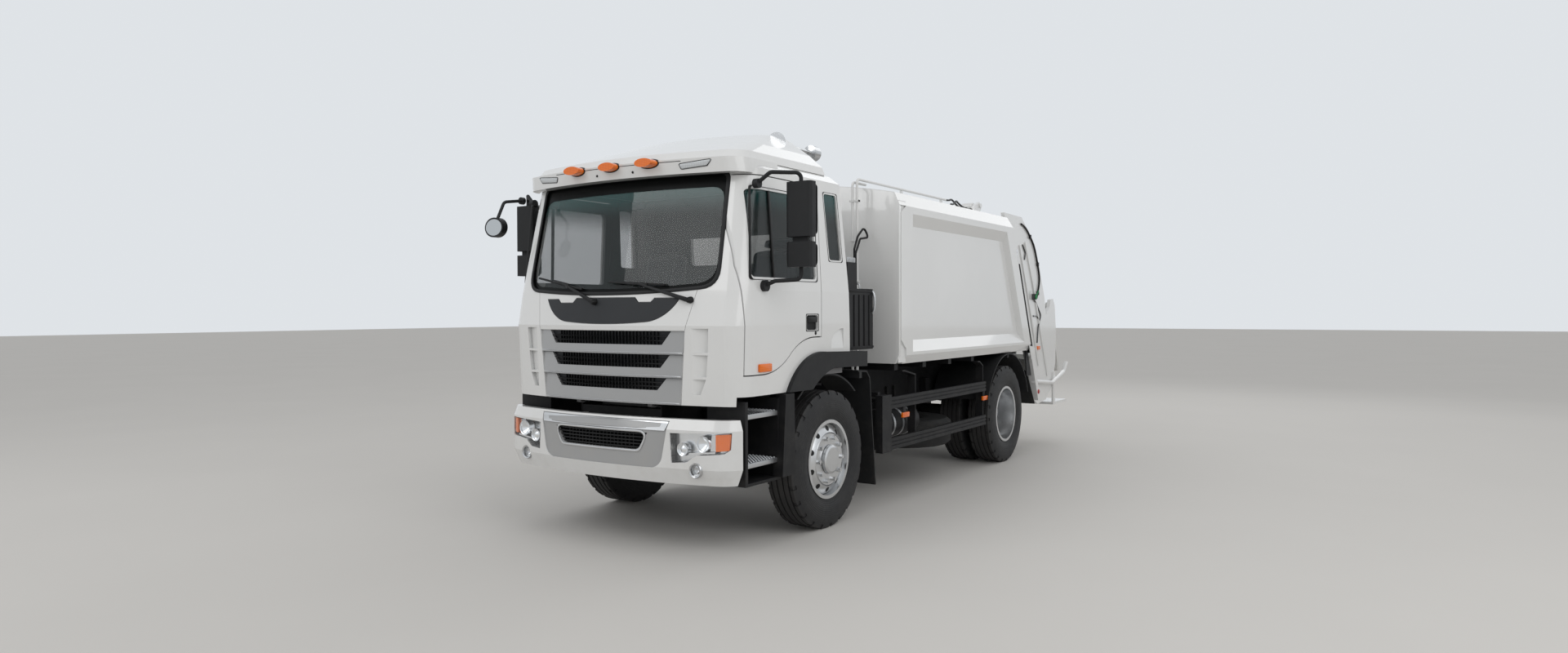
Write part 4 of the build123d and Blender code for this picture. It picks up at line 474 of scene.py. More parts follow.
def grown(corners, amount):  # corners moved outwards from their middle, by about amount
    middle = sum((Vector(c) for c in corners), Vector((0, 0))) / len(corners)
    return [tuple(Vector(c) + Vector([math.copysign(amount, v) for v in Vector(c) - middle])) for c in corners]


def bar(start, end, startWidth, endWidth):  # four corners of a tapered bar
    start, end = Vector(start), Vector(end)
    across = (end - start).normalized().orthogonal()
    return [start + across * startWidth / 2, start - across * startWidth / 2,
            end - across * endWidth / 2, end + across * endWidth / 2]


def active(piece):
    deselect()
    piece.select_set(True)
    bpy.context.view_layer.objects.active = piece


def editAll(piece):
    active(piece)
    bpy.ops.object.mode_set(mode="EDIT")
    bpy.ops.mesh.select_all(action="SELECT")


def harden(piece, kind, **settings):
    active(piece)
    modifier = piece.modifiers.new(kind.title(), kind)
    for key, value in settings.items():
        setattr(modifier, key, value)
    bpy.ops.object.modifier_apply(modifier=modifier.name)


def spot(view, level, point):
    place = list(point)
    place.insert(axisOf[view], level)
    return place


def startOutline(name, outline, view, level, fill):
    deselect()
    bpy.ops.mesh.primitive_circle_add(vertices=len(outline), radius=1, fill_type=fill)
    piece = bpy.context.object
    piece.name = name
    for vertex, point in zip(piece.data.vertices, outline):
        vertex.co = spot(view, level, point)
    return piece


def thickened(piece, view, depth, edge):
    editAll(piece)
    bpy.ops.mesh.extrude_region_move(TRANSFORM_OT_translate={"value": spot(view, depth, (0, 0))})
    bpy.ops.object.mode_set(mode="OBJECT")
    if edge:
        harden(piece, "BEVEL", width=edge, segments=2, limit_method="ANGLE", angle_limit=0.7)
    return piece


def plate(name, outline, view, level, depth, edge=0.0):  # an outline given a thickness
    piece = startOutline(name, outline, view, level, "NGON")
    return thickened(piece, view, depth, edge)


def slab(name, sides, radius, steps, view, level, depth, edge=0.0, runs=1):  # a plate with round corners
    return plate(name, rounded(rect(*sides), radius, steps, runs), view, level, depth, edge)


def ring(name, outer, inner, view, level, depth, edge=0.0):  # the band between two outlines
    piece = startOutline(name, outer, view, level, "NOTHING")
    editAll(piece)
    bpy.ops.mesh.extrude_edges_move(TRANSFORM_OT_translate={"value": (0, 0, 0)})
    bpy.ops.object.mode_set(mode="OBJECT")
    rim = [Vector(spot(view, level, point)) for point in outer]
    for vertex in piece.data.vertices[len(outer):]:
        index = min(range(len(rim)), key=lambda i: (rim[i] - vertex.co).length)
        vertex.co = spot(view, level, inner[index])
    return thickened(piece, view, depth, edge)


def trim(name, corners, outer, inner, steps, runs, view, level, depth, edge=0.0):
    # a ring along corners, its outer and inner outline given as (growth, corner radius)
    outlines = [rounded(grown(corners, growth), radius, steps, runs) for growth, radius in (outer, inner)]
    return ring(name, *outlines, view, level, depth, edge)


def turned(name, profile, centre, axis, steps=32):  # closed profile of (radius, along) spun about an axis
    along = Vector(axis)
    out = along.orthogonal().normalized()
    deselect()
    bpy.ops.mesh.primitive_circle_add(vertices=len(profile), radius=1, fill_type="NOTHING")
    piece = bpy.context.object
    piece.name = name
    for vertex, (radius, distance) in zip(piece.data.vertices, profile):
        vertex.co = Vector(centre) + out * radius + along * distance
    editAll(piece)
    bpy.ops.mesh.spin(steps=steps, angle=math.tau, center=centre, axis=axis)
    bpy.ops.object.mode_set(mode="OBJECT")
    return piece


def tube(name, points, radius, order=3):  # a round bar or hose along points
    deselect()
    bpy.ops.curve.primitive_nurbs_path_add()
    piece = bpy.context.object
    piece.name = name
    curve = piece.data
    curve.splines.clear()
    spline = curve.splines.new("NURBS")
    spline.points.add(len(points) - 1)
    for point, place in zip(spline.points, points):
        point.co = (*place, 1)
    spline.order_u = order
    spline.use_endpoint_u = True
    curve.bevel_depth = radius
    curve.bevel_resolution = 3
    curve.use_fill_caps = True
    bpy.ops.object.convert(target="MESH")
    return bpy.context.object


def slices(piece, axis, places):  # cuts across, so that a flat piece can follow a curve
    normal = [0, 0, 0]
    normal[axis] = 1
    for place in places:
        editAll(piece)
        bpy.ops.mesh.bisect(plane_co=[place * n for n in normal], plane_no=normal)
        bpy.ops.object.mode_set(mode="OBJECT")


def bowed(piece, form, step=0.0):  # y counts inwards from the cab's front until here
    if step:
        reach = [vertex.co.x for vertex in piece.data.vertices]
        slices(piece, 0, [k * step for k in range(math.ceil(min(reach) / step), math.ceil(max(reach) / step))])
    for vertex in piece.data.vertices:
        x, inset, z = vertex.co
        vertex.co.y = frontY(form, x, z, inset)
    return piece


def leant(piece):  # x counts outwards from the cab's side until here
    for vertex in piece.data.vertices:
        vertex.co.x += sideX(vertex.co.z)
    return piece


def joined(pieces, name=None):
    deselect()
    for piece in pieces:
        piece.select_set(True)
    bpy.context.view_layer.objects.active = pieces[0]
    bpy.ops.object.join()
    whole = bpy.context.object
    whole.name = name or whole.name
    return whole


def copied(piece, name, move=(0, 0, 0), flip=False):
    active(piece)
    bpy.ops.object.duplicate()
    copy = bpy.context.object
    copy.name = name
    for vertex in copy.data.vertices:
        vertex.co += Vector(move)
        if flip:
            vertex.co.x = -vertex.co.x
    return copy


def done(piece, finish, body, angle=35):
    editAll(piece)
    bpy.ops.mesh.remove_doubles(threshold=0.00002)
    bpy.ops.mesh.normals_make_consistent(inside=False)
    bpy.ops.object.mode_set(mode="OBJECT")
    bpy.ops.object.shade_smooth_by_angle(angle=math.radians(angle))
    piece.data.materials.clear()
    piece.data.materials.append(finish.material)
    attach(piece, body)
    return piece


def bothSides(piece, finish, body, angle=35):  # built on the left, copied to the right
    name = piece.name
    piece.name = name + "Left"
    other = copied(piece, name + "Right", flip=True)
    bodies = [body, body] if body in ("chassis", "cab", "tailgate") else [body + "_" + side for side in sides]
    return done(piece, finish, bodies[0], angle), done(other, finish, bodies[1], angle)


# windscreen trim and wipers

screen = {"topX": 0.885, "lowX": 0.905, "top": 2.612, "low": 1.828, "sag": 0.043, "glassInset": 0.012,
          "fritTop": 0.100, "fritSide": 0.024, "fritLow": 0.034}


def screenOutline(side, top, low, radii):
    x, lowX = screen["topX"] - side, screen["lowX"] - side
    outline = rounded([(-x, screen["top"] - top), (x, screen["top"] - top), (lowX, screen["low"] + low),
                       (-lowX, screen["low"] + low)], radii, 6, 16)
    for point in outline:
        if point.y < screen["low"] + 0.16:
            point.y -= screen["sag"] * (1 - (point.x / screen["lowX"]) ** 2)
    return outline


def makeScreenTrim():
    inset = screen["glassInset"]
    outer = screenOutline(0.004, 0.004, 0.004, (0.055, 0.055, 0.12, 0.12))
    inner = screenOutline(screen["fritSide"], screen["fritTop"], screen["fritLow"], (0.10, 0.10, 0.13, 0.13))
    done(bowed(ring("screenFrit", outer, inner, "front", inset - 0.0015, 0.001), "cab"), frit, "cab")
    outer = screenOutline(-0.014, -0.008, -0.012, (0.065, 0.065, 0.13, 0.13))
    inner = screenOutline(0.013, 0.013, 0.013, (0.05, 0.05, 0.11, 0.11))
    done(bowed(ring("screenSeal", outer, inner, "front", -0.005, inset + 0.002, 0.0025), "cab"), gasket, "cab")


wiper = {"left": {"pivot": (0.72, 1.735), "elbow": (0.30, 1.852), "blade": ((0.02, 1.868), (0.52, 1.842))},
         "right": {"pivot": (-0.10, 1.728), "elbow": (-0.46, 1.872),
                   "blade": ((-0.78, 1.915), (-0.24, 1.822))},
         "boss": [(0.0, -0.040), (0.012, -0.040), (0.019, -0.030), (0.024, -0.004), (0.024, 0.004),
                  (0.0, 0.004)],
         "proud": 0.032}


def makeWipers():
    out = -wiper["proud"]
    for side in sides:
        sizes = wiper[side]
        arm = plate("arm", bar(sizes["pivot"], sizes["elbow"], 0.030, 0.013), "front", out, 0.009, 0.002)
        outline = rounded(bar(*sizes["blade"], 0.014, 0.014), 0.004, 2, 6)
        blade = plate("blade", outline, "front", out + 0.012, 0.014, 0.002)
        outline = rounded(bar(*sizes["blade"], 0.005, 0.005), 0.001, 1, 6)
        lip = plate("lip", outline, "front", out + 0.024, 0.018)
        reach = [Vector(sizes["elbow"]).lerp(Vector(end), 0.35) for end in sizes["blade"]]
        claw = plate("claw", bar(*reach, 0.020, 0.020), "front", out + 0.004, 0.012, 0.003)
        whole = joined([bowed(part, "cab") for part in (arm, blade, lip, claw)])
        x, z = sizes["pivot"]
        y = frontY("cab", x, z)
        boss = turned("boss", wiper["boss"], (x, y, z), (0, 1, 0), 20)
        whole = joined([whole, boss], "wiper" + side.title())
        done(whole, gasket, "cab")


makeScreenTrim()
makeWipers()
print("windscreen trim and wipers")

# grille fins, bumper intake and its bright bands

# slots: floor, top, half width at the top
grille = {"slots": ((1.118, 1.204, 0.534), (1.272, 1.364, 0.566), (1.430, 1.524, 0.584)), "slope": 0.072,
          "finShares": (0.30, 0.62), "finHalf": 0.004, "postStep": 0.03, "postHalf": 0.002}


def makeGrilleFins():
    fins = []
    thick, postHalf, pitch = grille["finHalf"], grille["postHalf"], grille["postStep"]
    for low, top, half in grille["slots"]:
        for share in grille["finShares"]:
            z = low + share * (top - low)
            x = half - grille["slope"] * (1 - share) - 0.004
            fins.append(slab("fin", (-x, z - thick, x, z + thick), 0.003, 2, "front", 0.006, 0.024, runs=20))
        count = int(2 * half / pitch)
        post = plate("post", rect(-postHalf, low - 0.002, postHalf, top), "front", 0.016, 0.014)
        posts = [copied(post, "post", ((k - count / 2 + 0.5) * pitch, 0, 0)) for k in range(3, count - 3)]
        bpy.data.objects.remove(post)
        fins += posts
    done(bowed(joined(fins, "grilleFins"), "cab"), darkPlastic, "cab")


intake = {"topX": 0.437, "lowX": 0.360, "top": 0.833, "low": 0.714, "corner": 0.045, "slats": 5,
          "slatStep": 0.0235, "slatHalf": 0.0035, "posts": 11, "postStep": 0.034, "postHalf": 0.002}


def makeIntake():
    x, lowX, top, low = intake["topX"], intake["lowX"], intake["top"], intake["low"]
    slatHalf, postHalf = intake["slatHalf"], intake["postHalf"]
    corners = [(-x, top), (x, top), (lowX, low), (-lowX, low)]
    outer, inner = (0.016, intake["corner"] + 0.01), (-0.002, intake["corner"])
    lip = trim("intakeLip", corners, outer, inner, 5, 12, "front", 0.001, 0.012, 0.003)
    done(bowed(lip, "bumper"), alloy, "chassis")
    # the plate behind the slats and posts is painted shade: a dark sheet that closes the intake so that it
    # reads as a dark recess
    parts = [plate("backing", rounded(grown(corners, 0.02), 0.05, 4, 12), "front", 0.075, 0.006)]
    for k in range(intake["slats"]):
        z = low + 0.014 + k * intake["slatStep"]
        half = lowX + (x - lowX) * (z - low) / (top - low)
        slat = (-half, z - slatHalf, half, z + slatHalf)
        parts.append(slab("slat", slat, 0.003, 2, "front", 0.020, 0.035, runs=16))
    for k in range(-intake["posts"], intake["posts"] + 1):
        centre = k * intake["postStep"]
        if abs(centre) < lowX - 0.02:
            post = rect(centre - postHalf, low, centre + postHalf, top)
            parts.append(plate("post", post, "front", 0.026, 0.02))
    done(bowed(joined(parts, "intakeMesh"), "bumper", 0.05), darkPlastic, "chassis")


bright = {"band": [(-0.580, 0.853), (0.580, 0.853), (0.604, 0.916), (-0.604, 0.916)],
          "edges": ((1.026, 1.036), (1.209, 1.219), (1.369, 1.379)), "lowHalf": 0.648, "widening": 0.044,
          "low": 1.022, "rise": 0.503}


def makeInsertBand():  # the bumper's band and the lower edges of the grille's bars
    outline = rounded(bright["band"], 0.008, 3, 20)
    band = bowed(plate("insertBand", outline, "front", 0.001, 0.010, 0.002), "bumper")
    done(band, alloy, "chassis")
    for low, high in bright["edges"]:
        half = bright["lowHalf"] + bright["widening"] * (low - bright["low"]) / bright["rise"] - 0.004
        name = "barEdge" + str(round(low * 1000))
        edge = slab(name, (-half, low, half, high), 0.003, 2, "front", -0.0075, 0.006, 0.0015, 20)
        done(bowed(edge, "cab"), alloy, "cab")


makeGrilleFins()
makeIntake()
makeInsertBand()
print("grille and intake detail")

# headlamps, fog lamps and marker lamps

headlamp = {"outline": [(0.632, 0.642), (0.745, 0.650), (0.820, 0.700), (1.010, 0.715), (1.045, 0.745),
                        (1.050, 0.855), (0.620, 0.842)],
            "depth": 0.085, "projector": (0.708, 0.735), "reflector": (0.858, 0.777), "amberX": (0.952, 1.040)}
fogLamp = {"place": (0.810, 0.600), "radius": 0.045}


def lampBowl(name, x, z, radius, back, form="bumper"):
    y = frontY(form, x, z)
    profile = [(radius, 0.018), (radius + 0.006, 0.014), (radius + 0.006, back), (0.0, back + 0.004),
               (0.0, back), (radius * 0.35, back - 0.004), (radius * 0.75, back * 0.62), (radius, 0.03)]
    return turned(name, profile, (x, y, z), (0, 1, 0), 28)


def makeHeadlamps():
    corners = headlamp["outline"]
    outer = rounded(corners, 0.012, 3, 6)
    inner = rounded(grown(corners, -0.011), 0.008, 3, 6)
    cover = bowed(plate("headlampCover", outer, "front", 0.003, 0.003), "bumper", 0.03)
    cover = bothSides(cover, lampCover, "chassis")[0]
    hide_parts("headlamps")
    bezel = bowed(ring("headlampBezel", outer, inner, "front", 0.008, 0.055), "bumper", 0.04)
    bothSides(bezel, gasket, "chassis")
    back = bowed(plate("headlampBack", outer, "front", headlamp["depth"] - 0.02, 0.004), "bumper", 0.03)
    bothSides(back, brightBowl, "chassis")
    x, z = headlamp["projector"]
    y = frontY("bumper", x, z)
    eye = turned("headlampEye", [(0.0, 0.014), (0.016, 0.017), (0.030, 0.028), (0.036, 0.042), (0.0, 0.042)],
                 (x, y, z), (0, 1, 0), 28)
    bothSides(eye, mirrorGlass, "chassis")
    bowls = [lampBowl("bowl", x, z, 0.040, 0.055), lampBowl("bowl", *headlamp["reflector"], 0.050, 0.062)]
    outline = [(0.755, 0.700), (0.945, 0.716), (0.945, 0.728), (0.755, 0.712)]
    shelf = bowed(plate("shelf", outline, "front", 0.014, 0.045), "bumper", 0.04)
    outline = [(0.905, 0.728), (0.945, 0.730), (0.945, 0.838), (0.915, 0.836)]
    wing = bowed(plate("wing", outline, "front", 0.022, 0.03), "bumper", 0.02)
    bothSides(joined(bowls + [shelf, wing], "headlampBowls"), brightBowl, "chassis")
    low, high = headlamp["amberX"]
    outline = rounded([(low, 0.730), (high - 0.008, 0.738), (high, 0.846), (low, 0.842)], 0.006, 2, 4)
    block = plate("turnLamp", outline, "front", 0.009, 0.040)
    bothSides(bowed(block, "bumper", 0.02), amber, "chassis")


def makeFogLamps():
    x, z = fogLamp["place"]
    r = fogLamp["radius"]
    y = frontY("bumper", x, z)
    profile = [(r - 0.006, -0.001), (r + 0.004, -0.005), (r + 0.009, 0.004), (r + 0.009, 0.02),
               (r - 0.006, 0.02)]
    collar = turned("fogRing", profile, (x, y, z), (0, 1, 0), 32)
    bowl = lampBowl("fogBowl", x, z, r - 0.006, 0.05)
    bothSides(joined([collar, bowl], "fogRing"), chrome, "chassis")
    profile = [(0.0, 0.000), (r * 0.5, 0.002), (r - 0.005, 0.007), (r - 0.005, 0.012), (0.0, 0.012)]
    lens = turned("fogLens", profile, (x, y, z), (0, 1, 0), 32)
    bothSides(lens, lampCover, "chassis")


marker = {"lamp": [(0.585, 2.664), (0.835, 2.686), (0.792, 2.646), (0.605, 2.632)],
          "grooves": ((-0.60, -0.425), (-0.265, -0.08), (0.08, 0.265), (0.425, 0.60)),
          "grooveZ": (2.6835, 2.6875),
          "roofX": (-0.345, 0.0, 0.345), "roofZ": 2.685, "rim": (0.083, 0.036), "rimHole": (0.074, 0.028),
          "jets": ((-0.142, 2.637), (0.198, 2.637))}


def oval(x, z, halfX, halfZ, steps=36):
    turns = [math.tau * k / steps for k in range(steps)]
    return [Vector((x + halfX * math.cos(turn), z + halfZ * math.sin(turn))) for turn in turns]


def makeMarkers():
    corners = marker["lamp"]
    lamp = plate("visorLamp", rounded(corners, 0.010, 4, 5), "front", -0.006, 0.03, 0.004)
    bothSides(bowed(lamp, "visor"), clearLens, "cab")
    rim = trim("visorLampRim", corners, (0.005, 0.012), (-0.002, 0.010), 4, 5, "front", -0.003, 0.02)
    bothSides(bowed(rim, "visor"), gasket, "cab")
    low, top = marker["grooveZ"]
    grooves = [slab("groove", (start, low, end, top), 0.001, 1, "front", -0.0012, 0.01, runs=5)
               for start, end in marker["grooves"]]
    done(bowed(joined(grooves, "visorGroove"), "visor"), gasket, "cab")
    rings = []
    for x in marker["roofX"]:
        outer, inner = oval(x, marker["roofZ"], *marker["rim"]), oval(x, marker["roofZ"], *marker["rimHole"])
        rings.append(ring("rim", outer, inner, "front", -0.006, 0.016, 0.002))
    done(bowed(joined(rings, "roofLampRims"), "visor"), gasket, "cab")
    profile = [(0.0, -0.006), (0.006, -0.006), (0.009, -0.002), (0.009, 0.01), (0.0, 0.01)]
    jets = [turned("jet", profile, (x, frontY("visor", x, z), z), (0, 1, 0), 16) for x, z in marker["jets"]]
    done(joined(jets, "screenJets"), gasket, "cab")


makeHeadlamps()
makeFogLamps()
makeMarkers()
print("lamps")

# doors, windows and mirrors

doorWindow = [(-1.055, 1.890), (-0.235, 1.890), (-0.235, 2.490), (-1.012, 2.490)]
windowPost = [(-0.800, 1.880), (-0.778, 1.880), (-0.796, 2.498), (-0.818, 2.498)]
quarterWindow = [(-0.025, 2.045), (0.160, 2.045), (0.115, 2.545), (-0.070, 2.545)]
handle = {"pocket": rect(-0.375, 1.518, -0.215, 1.628), "flap": rect(-0.362, 1.575, -0.228, 1.617),
          "lock": (0.0, -0.250, 1.495), "lamp": rect(-0.995, 1.244, -0.845, 1.300)}
doorMirror = {"x": 1.335, "y": -0.820, "halfWidth": 0.100, "halfDepth": 0.0475,
              "glasses": ((2.185, 2.505), (1.975, 2.105))}


def fromAxle(points):
    return [(frontAxle + along, z) for along, z in points]


def aft(points):
    return [(x, frontAxle + y, z) for x, y, z in points]


def makeWindowFrames():
    corners = fromAxle(doorWindow)
    frameRing = trim("doorFrame", corners, (0.016, 0.04), (-0.020, 0.025), 5, 6, "side", -0.016, 0.020, 0.002)
    post = plate("post", fromAxle(windowPost), "side", -0.014, 0.014, 0.001)
    bothSides(leant(joined([frameRing, post])), gasket, "door_body")
    corners = fromAxle(quarterWindow)
    seal = trim("quarterSeal", corners, (0.012, 0.035), (-0.014, 0.02), 5, 4, "side", -0.015, 0.018, 0.002)
    bothSides(leant(seal), gasket, "cab")


def makeHandles():
    corners = fromAxle(handle["pocket"])
    tray = trim("tray", corners, (0.004, 0.018), (-0.010, 0.012), 4, 1, "side", -0.022, 0.024, 0.002)
    floor = plate("floor", rounded(grown(corners, -0.004), 0.014, 4), "side", -0.0245, 0.003)
    outline = rounded(fromAxle(handle["flap"]), 0.010, 4)
    flap = plate("flap", outline, "side", -0.010, 0.012, 0.003)
    profile = [(0.0, 0.004), (0.010, 0.004), (0.014, 0.001), (0.014, -0.01), (0.0, -0.01)]
    barrel = turned("barrel", profile, aft([handle["lock"]])[0], (1, 0, 0), 20)
    bothSides(leant(joined([tray, floor, flap, barrel])), gasket, "door_body")
    outline = rounded(fromAxle(handle["lamp"]), 0.012, 4)
    bothSides(leant(plate("doorLamp", outline, "side", -0.002, 0.018, 0.005)), amber, "door_body")


def makeMirrorGlasses():
    y = frontAxle + doorMirror["y"] + doorMirror["halfDepth"]
    x, half = doorMirror["x"], doorMirror["halfWidth"]
    glasses, rims = [], []
    for low, high in doorMirror["glasses"]:
        corners = rect(x - half + 0.012, low, x + half - 0.012, high)
        glasses.append(plate("glass", rounded(corners, 0.02, 4), "front", y - 0.001, 0.003))
        rims.append(trim("rim", corners, (0.010, 0.028), (0.0, 0.02), 4, 1, "front", y - 0.004, 0.010, 0.002))
    bothSides(joined(glasses, "mirrorGlass"), mirrorGlass, "door_body")
    bothSides(joined(rims, "mirrorRim"), gasket, "door_body")


makeWindowFrames()
makeHandles()
makeMirrorGlasses()
print("doors, windows and mirrors")

# tyres with grooved treads

tyre = {"width": 0.275, "bead": 0.111, "groove": 0.011, "grooves": (-0.074, -0.026, 0.026, 0.074), "steps": 96,
        "shoulder": 0.084, "shoulderRadius": 0.50, "lugDepth": 0.007, "front": (0.95,), "rear": (0.96, 0.64)}


def tyreProfile():
    half = tyre["width"] / 2
    flank = [(tyre["bead"], 0.286), (tyre["bead"], 0.308), (half - 0.007, 0.345), (half, 0.392),
             (half - 0.003, 0.430), (half - 0.006, 0.465), (half - 0.017, 0.495), (half - 0.026, 0.519),
             (half - 0.031, wheelRadius)]
    tread = []
    for across in reversed(tyre["grooves"]):
        floor = wheelRadius - tyre["groove"]
        tread += [(across + 0.006, wheelRadius), (across + 0.004, floor), (across - 0.004, floor),
                  (across - 0.006, wheelRadius)]
    mirrored = [(-across, radius) for across, radius in reversed(flank)]
    return [(radius, across) for across, radius in flank + tread + mirrored]


def makeTyres():
    for name, body, tread, y in (("tyre_front", "wheel_front", "treadFront", frontAxle),
                                 ("tyres_rear", "wheel_rear", "treadRear", rearAxle)):
        wheels = []
        for x in tyre["front" if y == frontAxle else "rear"]:
            centre = (x, y, wheelRadius)
            wheel = turned("tyre", tyreProfile(), centre, (1, 0, 0), tyre["steps"])
            editAll(wheel)
            bpy.ops.mesh.remove_doubles(threshold=0.00002)
            bpy.ops.mesh.normals_make_consistent(inside=False)
            bpy.ops.mesh.select_all(action="DESELECT")
            bpy.ops.object.mode_set(mode="OBJECT")
            for face in wheel.data.polygons:  # every fourth step of the shoulder is a cross groove
                place = face.center - Vector(centre)
                turn = math.atan2(place.z, place.y) / math.tau * tyre["steps"]
                radius = math.hypot(place.y, place.z)
                outer = abs(place.x) > tyre["shoulder"] and radius > tyre["shoulderRadius"]
                face.select = outer and int(turn + 200) % 4 == 0
            bpy.ops.object.mode_set(mode="EDIT")
            bpy.ops.mesh.extrude_region_shrink_fatten(TRANSFORM_OT_shrink_fatten={"value": -tyre["lugDepth"]})
            bpy.ops.object.mode_set(mode="OBJECT")
            wheels.append(wheel)
        for side, piece in zip(sides, bothSides(joined(wheels, tread), tyreRubber, body, 28)):
            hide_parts(name + "_" + side)


makeTyres()
print("tyres")

# cab inside: seats, dash, steering wheel

seat = {"x": 0.56, "halfWidth": 0.225, "front": -0.510, "rear": -0.085, "low": 1.505, "top": 1.615,
        "backZ": (1.62, 2.14), "taper": 0.03, "restZ": (2.165, 2.225), "restHalf": (0.12, 0.105), "lean": 0.17,
        "voxel": 0.007, "pressure": 4.0, "cap": 0.014}


def padFrom(piece):  # a slightly small block, remeshed and blown up by the cloth solver
    harden(piece, "REMESH", mode="VOXEL", voxel_size=seat["voxel"])
    before = [vertex.co.copy() for vertex in piece.data.vertices]
    active(piece)
    cloth = piece.modifiers.new("Cloth", "CLOTH")
    cloth.settings.use_pressure = True
    cloth.settings.uniform_pressure_force = seat["pressure"]
    cloth.settings.effector_weights.gravity = 0
    cloth.settings.tension_stiffness = 25
    scene = bpy.context.scene
    for step in range(1, 15):
        scene.frame_set(step)
    bpy.ops.object.modifier_apply(modifier="Cloth")
    scene.frame_set(1)
    for vertex, start in zip(piece.data.vertices, before):
        move = vertex.co - start
        if move.length > seat["cap"]:
            vertex.co = start + move.normalized() * seat["cap"]
    return piece


def sewn(piece, axis, places, depth=0.007, width=0.012):  # sewn channels pressed into the pad
    middle = sum((vertex.co for vertex in piece.data.vertices), Vector()) / len(piece.data.vertices)
    for vertex in piece.data.vertices:
        for place in places:
            near = 1 - min(1, abs(vertex.co[axis] - place) / width)
            if near > 0:
                vertex.co -= (vertex.co - middle).normalized() * depth * near
    return piece


def makeSeats():
    x, half = seat["x"], seat["halfWidth"]
    front, rear = frontAxle + seat["front"], frontAxle + seat["rear"]
    low, thick = seat["low"], seat["top"] - seat["low"]
    cushion = slab("seatCushion", (x - half, front, x + half, rear), 0.05, 5, "top", low, thick, 0.02)
    cushion = sewn(padFrom(cushion), 0, (x - 0.13, x + 0.13))
    (low, top), taper = seat["backZ"], seat["taper"]
    outline = [(x - half, low), (x + half, low), (x + half - taper, top), (x - half + taper, top)]
    back = plate("seatBack", rounded(outline, 0.06, 5), "front", frontAxle - 0.105, 0.10, 0.02)
    back = sewn(padFrom(back), 0, (x - 0.12, x + 0.12))
    (low, top), (lowHalf, topHalf) = seat["restZ"], seat["restHalf"]
    outline = [(x - lowHalf, low), (x + lowHalf, low), (x + topHalf, top), (x - topHalf, top)]
    rest = padFrom(plate("seatHeadrest", rounded(outline, 0.02, 4), "front", frontAxle - 0.075, 0.07, 0.015))
    for piece in (back, rest):
        for vertex in piece.data.vertices:  # leans back
            vertex.co.y += (vertex.co.z - 1.60) * seat["lean"]
    for piece in (cushion, back, rest):
        for pad in bothSides(piece, seatCloth, "cab", 60):
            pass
    foot = (x - 0.20, front + 0.05, x + 0.20, rear - 0.03)
    plinth = slab("seatPlinth", foot, 0.02, 3, "top", 1.216, 0.28, 0.004)
    bothSides(plinth, dashPlastic, "cab")


dash = {"halfWidth": 0.940, "low": 1.468, "slope": 0.242,
        "outline": [(-1.075, 1.468), (-0.865, 1.468), (-0.806, 1.712), (-0.985, 1.762), (-1.055, 1.768)],
        "vents": (-0.80, -0.10, 0.10, 0.86), "ventSlots": 4, "ventLow": 1.625, "ventStep": 0.018,
        "ventHalf": 0.055,
        "hood": [(-1.03, 1.70), (-0.83, 1.70), (-0.84, 1.80), (-0.99, 1.815)],
        "wheel": (0.56, -0.715, 1.790), "wheelRadius": 0.215, "axis": (0, 0.50, 0.866)}


def makeDash():
    half, outline = dash["halfWidth"], rounded(fromAxle(dash["outline"]), 0.022, 4)
    panel = plate("dashPanel", outline, "side", -half, 2 * half, 0.004)
    outline = rounded(fromAxle(dash["hood"]), 0.03, 4)
    hood = plate("hood", outline, "side", 0.36, 0.40, 0.012)
    vents = []
    for centre in dash["vents"]:
        for k in range(dash["ventSlots"]):
            z = dash["ventLow"] + k * dash["ventStep"]
            y = frontAxle - 0.862 + (z - dash["low"]) * dash["slope"]
            slot = rect(centre - dash["ventHalf"], z, centre + dash["ventHalf"], z + 0.007)
            vents.append(plate("vent", slot, "front", y, 0.012))
    whole = done(joined([panel, hood] + vents, "dashPanel"), dashPlastic, "cab")
    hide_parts("cab_interior")
    x, y, z = dash["wheel"]
    centre = Vector((x, frontAxle + y, z))
    r = dash["wheelRadius"]
    circle = [(r + 0.014 * math.cos(a), 0.014 * math.sin(a)) for a in (math.tau * k / 12 for k in range(12))]
    up = Vector(dash["axis"]).normalized()
    side = Vector((1, 0, 0))
    down = up.cross(side)
    rim = turned("rim", circle, centre, up, 48)
    hub = turned("hub", [(0.0, 0.0), (0.06, -0.005), (0.07, -0.02), (0.05, -0.05), (0.022, -0.06),
                         (0.022, -0.26), (0.0, -0.26)], centre, up, 24)
    ways = (side, -side, side * 0.5 - down * 0.866, -side * 0.5 - down * 0.866)
    spokes = []
    for way in ways:
        route = [centre - up * 0.02, centre - up * 0.016 + way * r * 0.5, centre + way * (r - 0.004)]
        spokes.append(tube("spoke", route, 0.011))
    done(joined([rim, hub] + spokes, "steeringWheel"), dashPlastic, "cab")
    face, y = (-0.13, 2.40, 0.13, 2.46), frontAxle - 1.03
    mirror = slab("mirror", face, 0.02, 4, "front", y, 0.02, 0.005)
    stem = tube("stem", aft([(0, -1.02, 2.45), (0, -1.04, 2.52), (0, -1.05, 2.60)]), 0.008)
    done(joined([mirror, stem], "cabMirror"), dashPlastic, "cab")


makeSeats()
makeDash()
print("cab inside")

# steps, guards, tanks

step = {"levels": (0.630, 0.960), "x": (0.790, 1.072), "y": (-1.102, -0.718), "thick": 0.004,
        "nub": [(0.005, 0.0), (0.009, 0.0), (0.0065, 0.006), (0.0045, 0.006), (0.0035, 0.001)],
        "nubInset": 0.022, "nubRows": ((9, (0.030, 0, 0)), (12, (0, 0.031, 0)))}


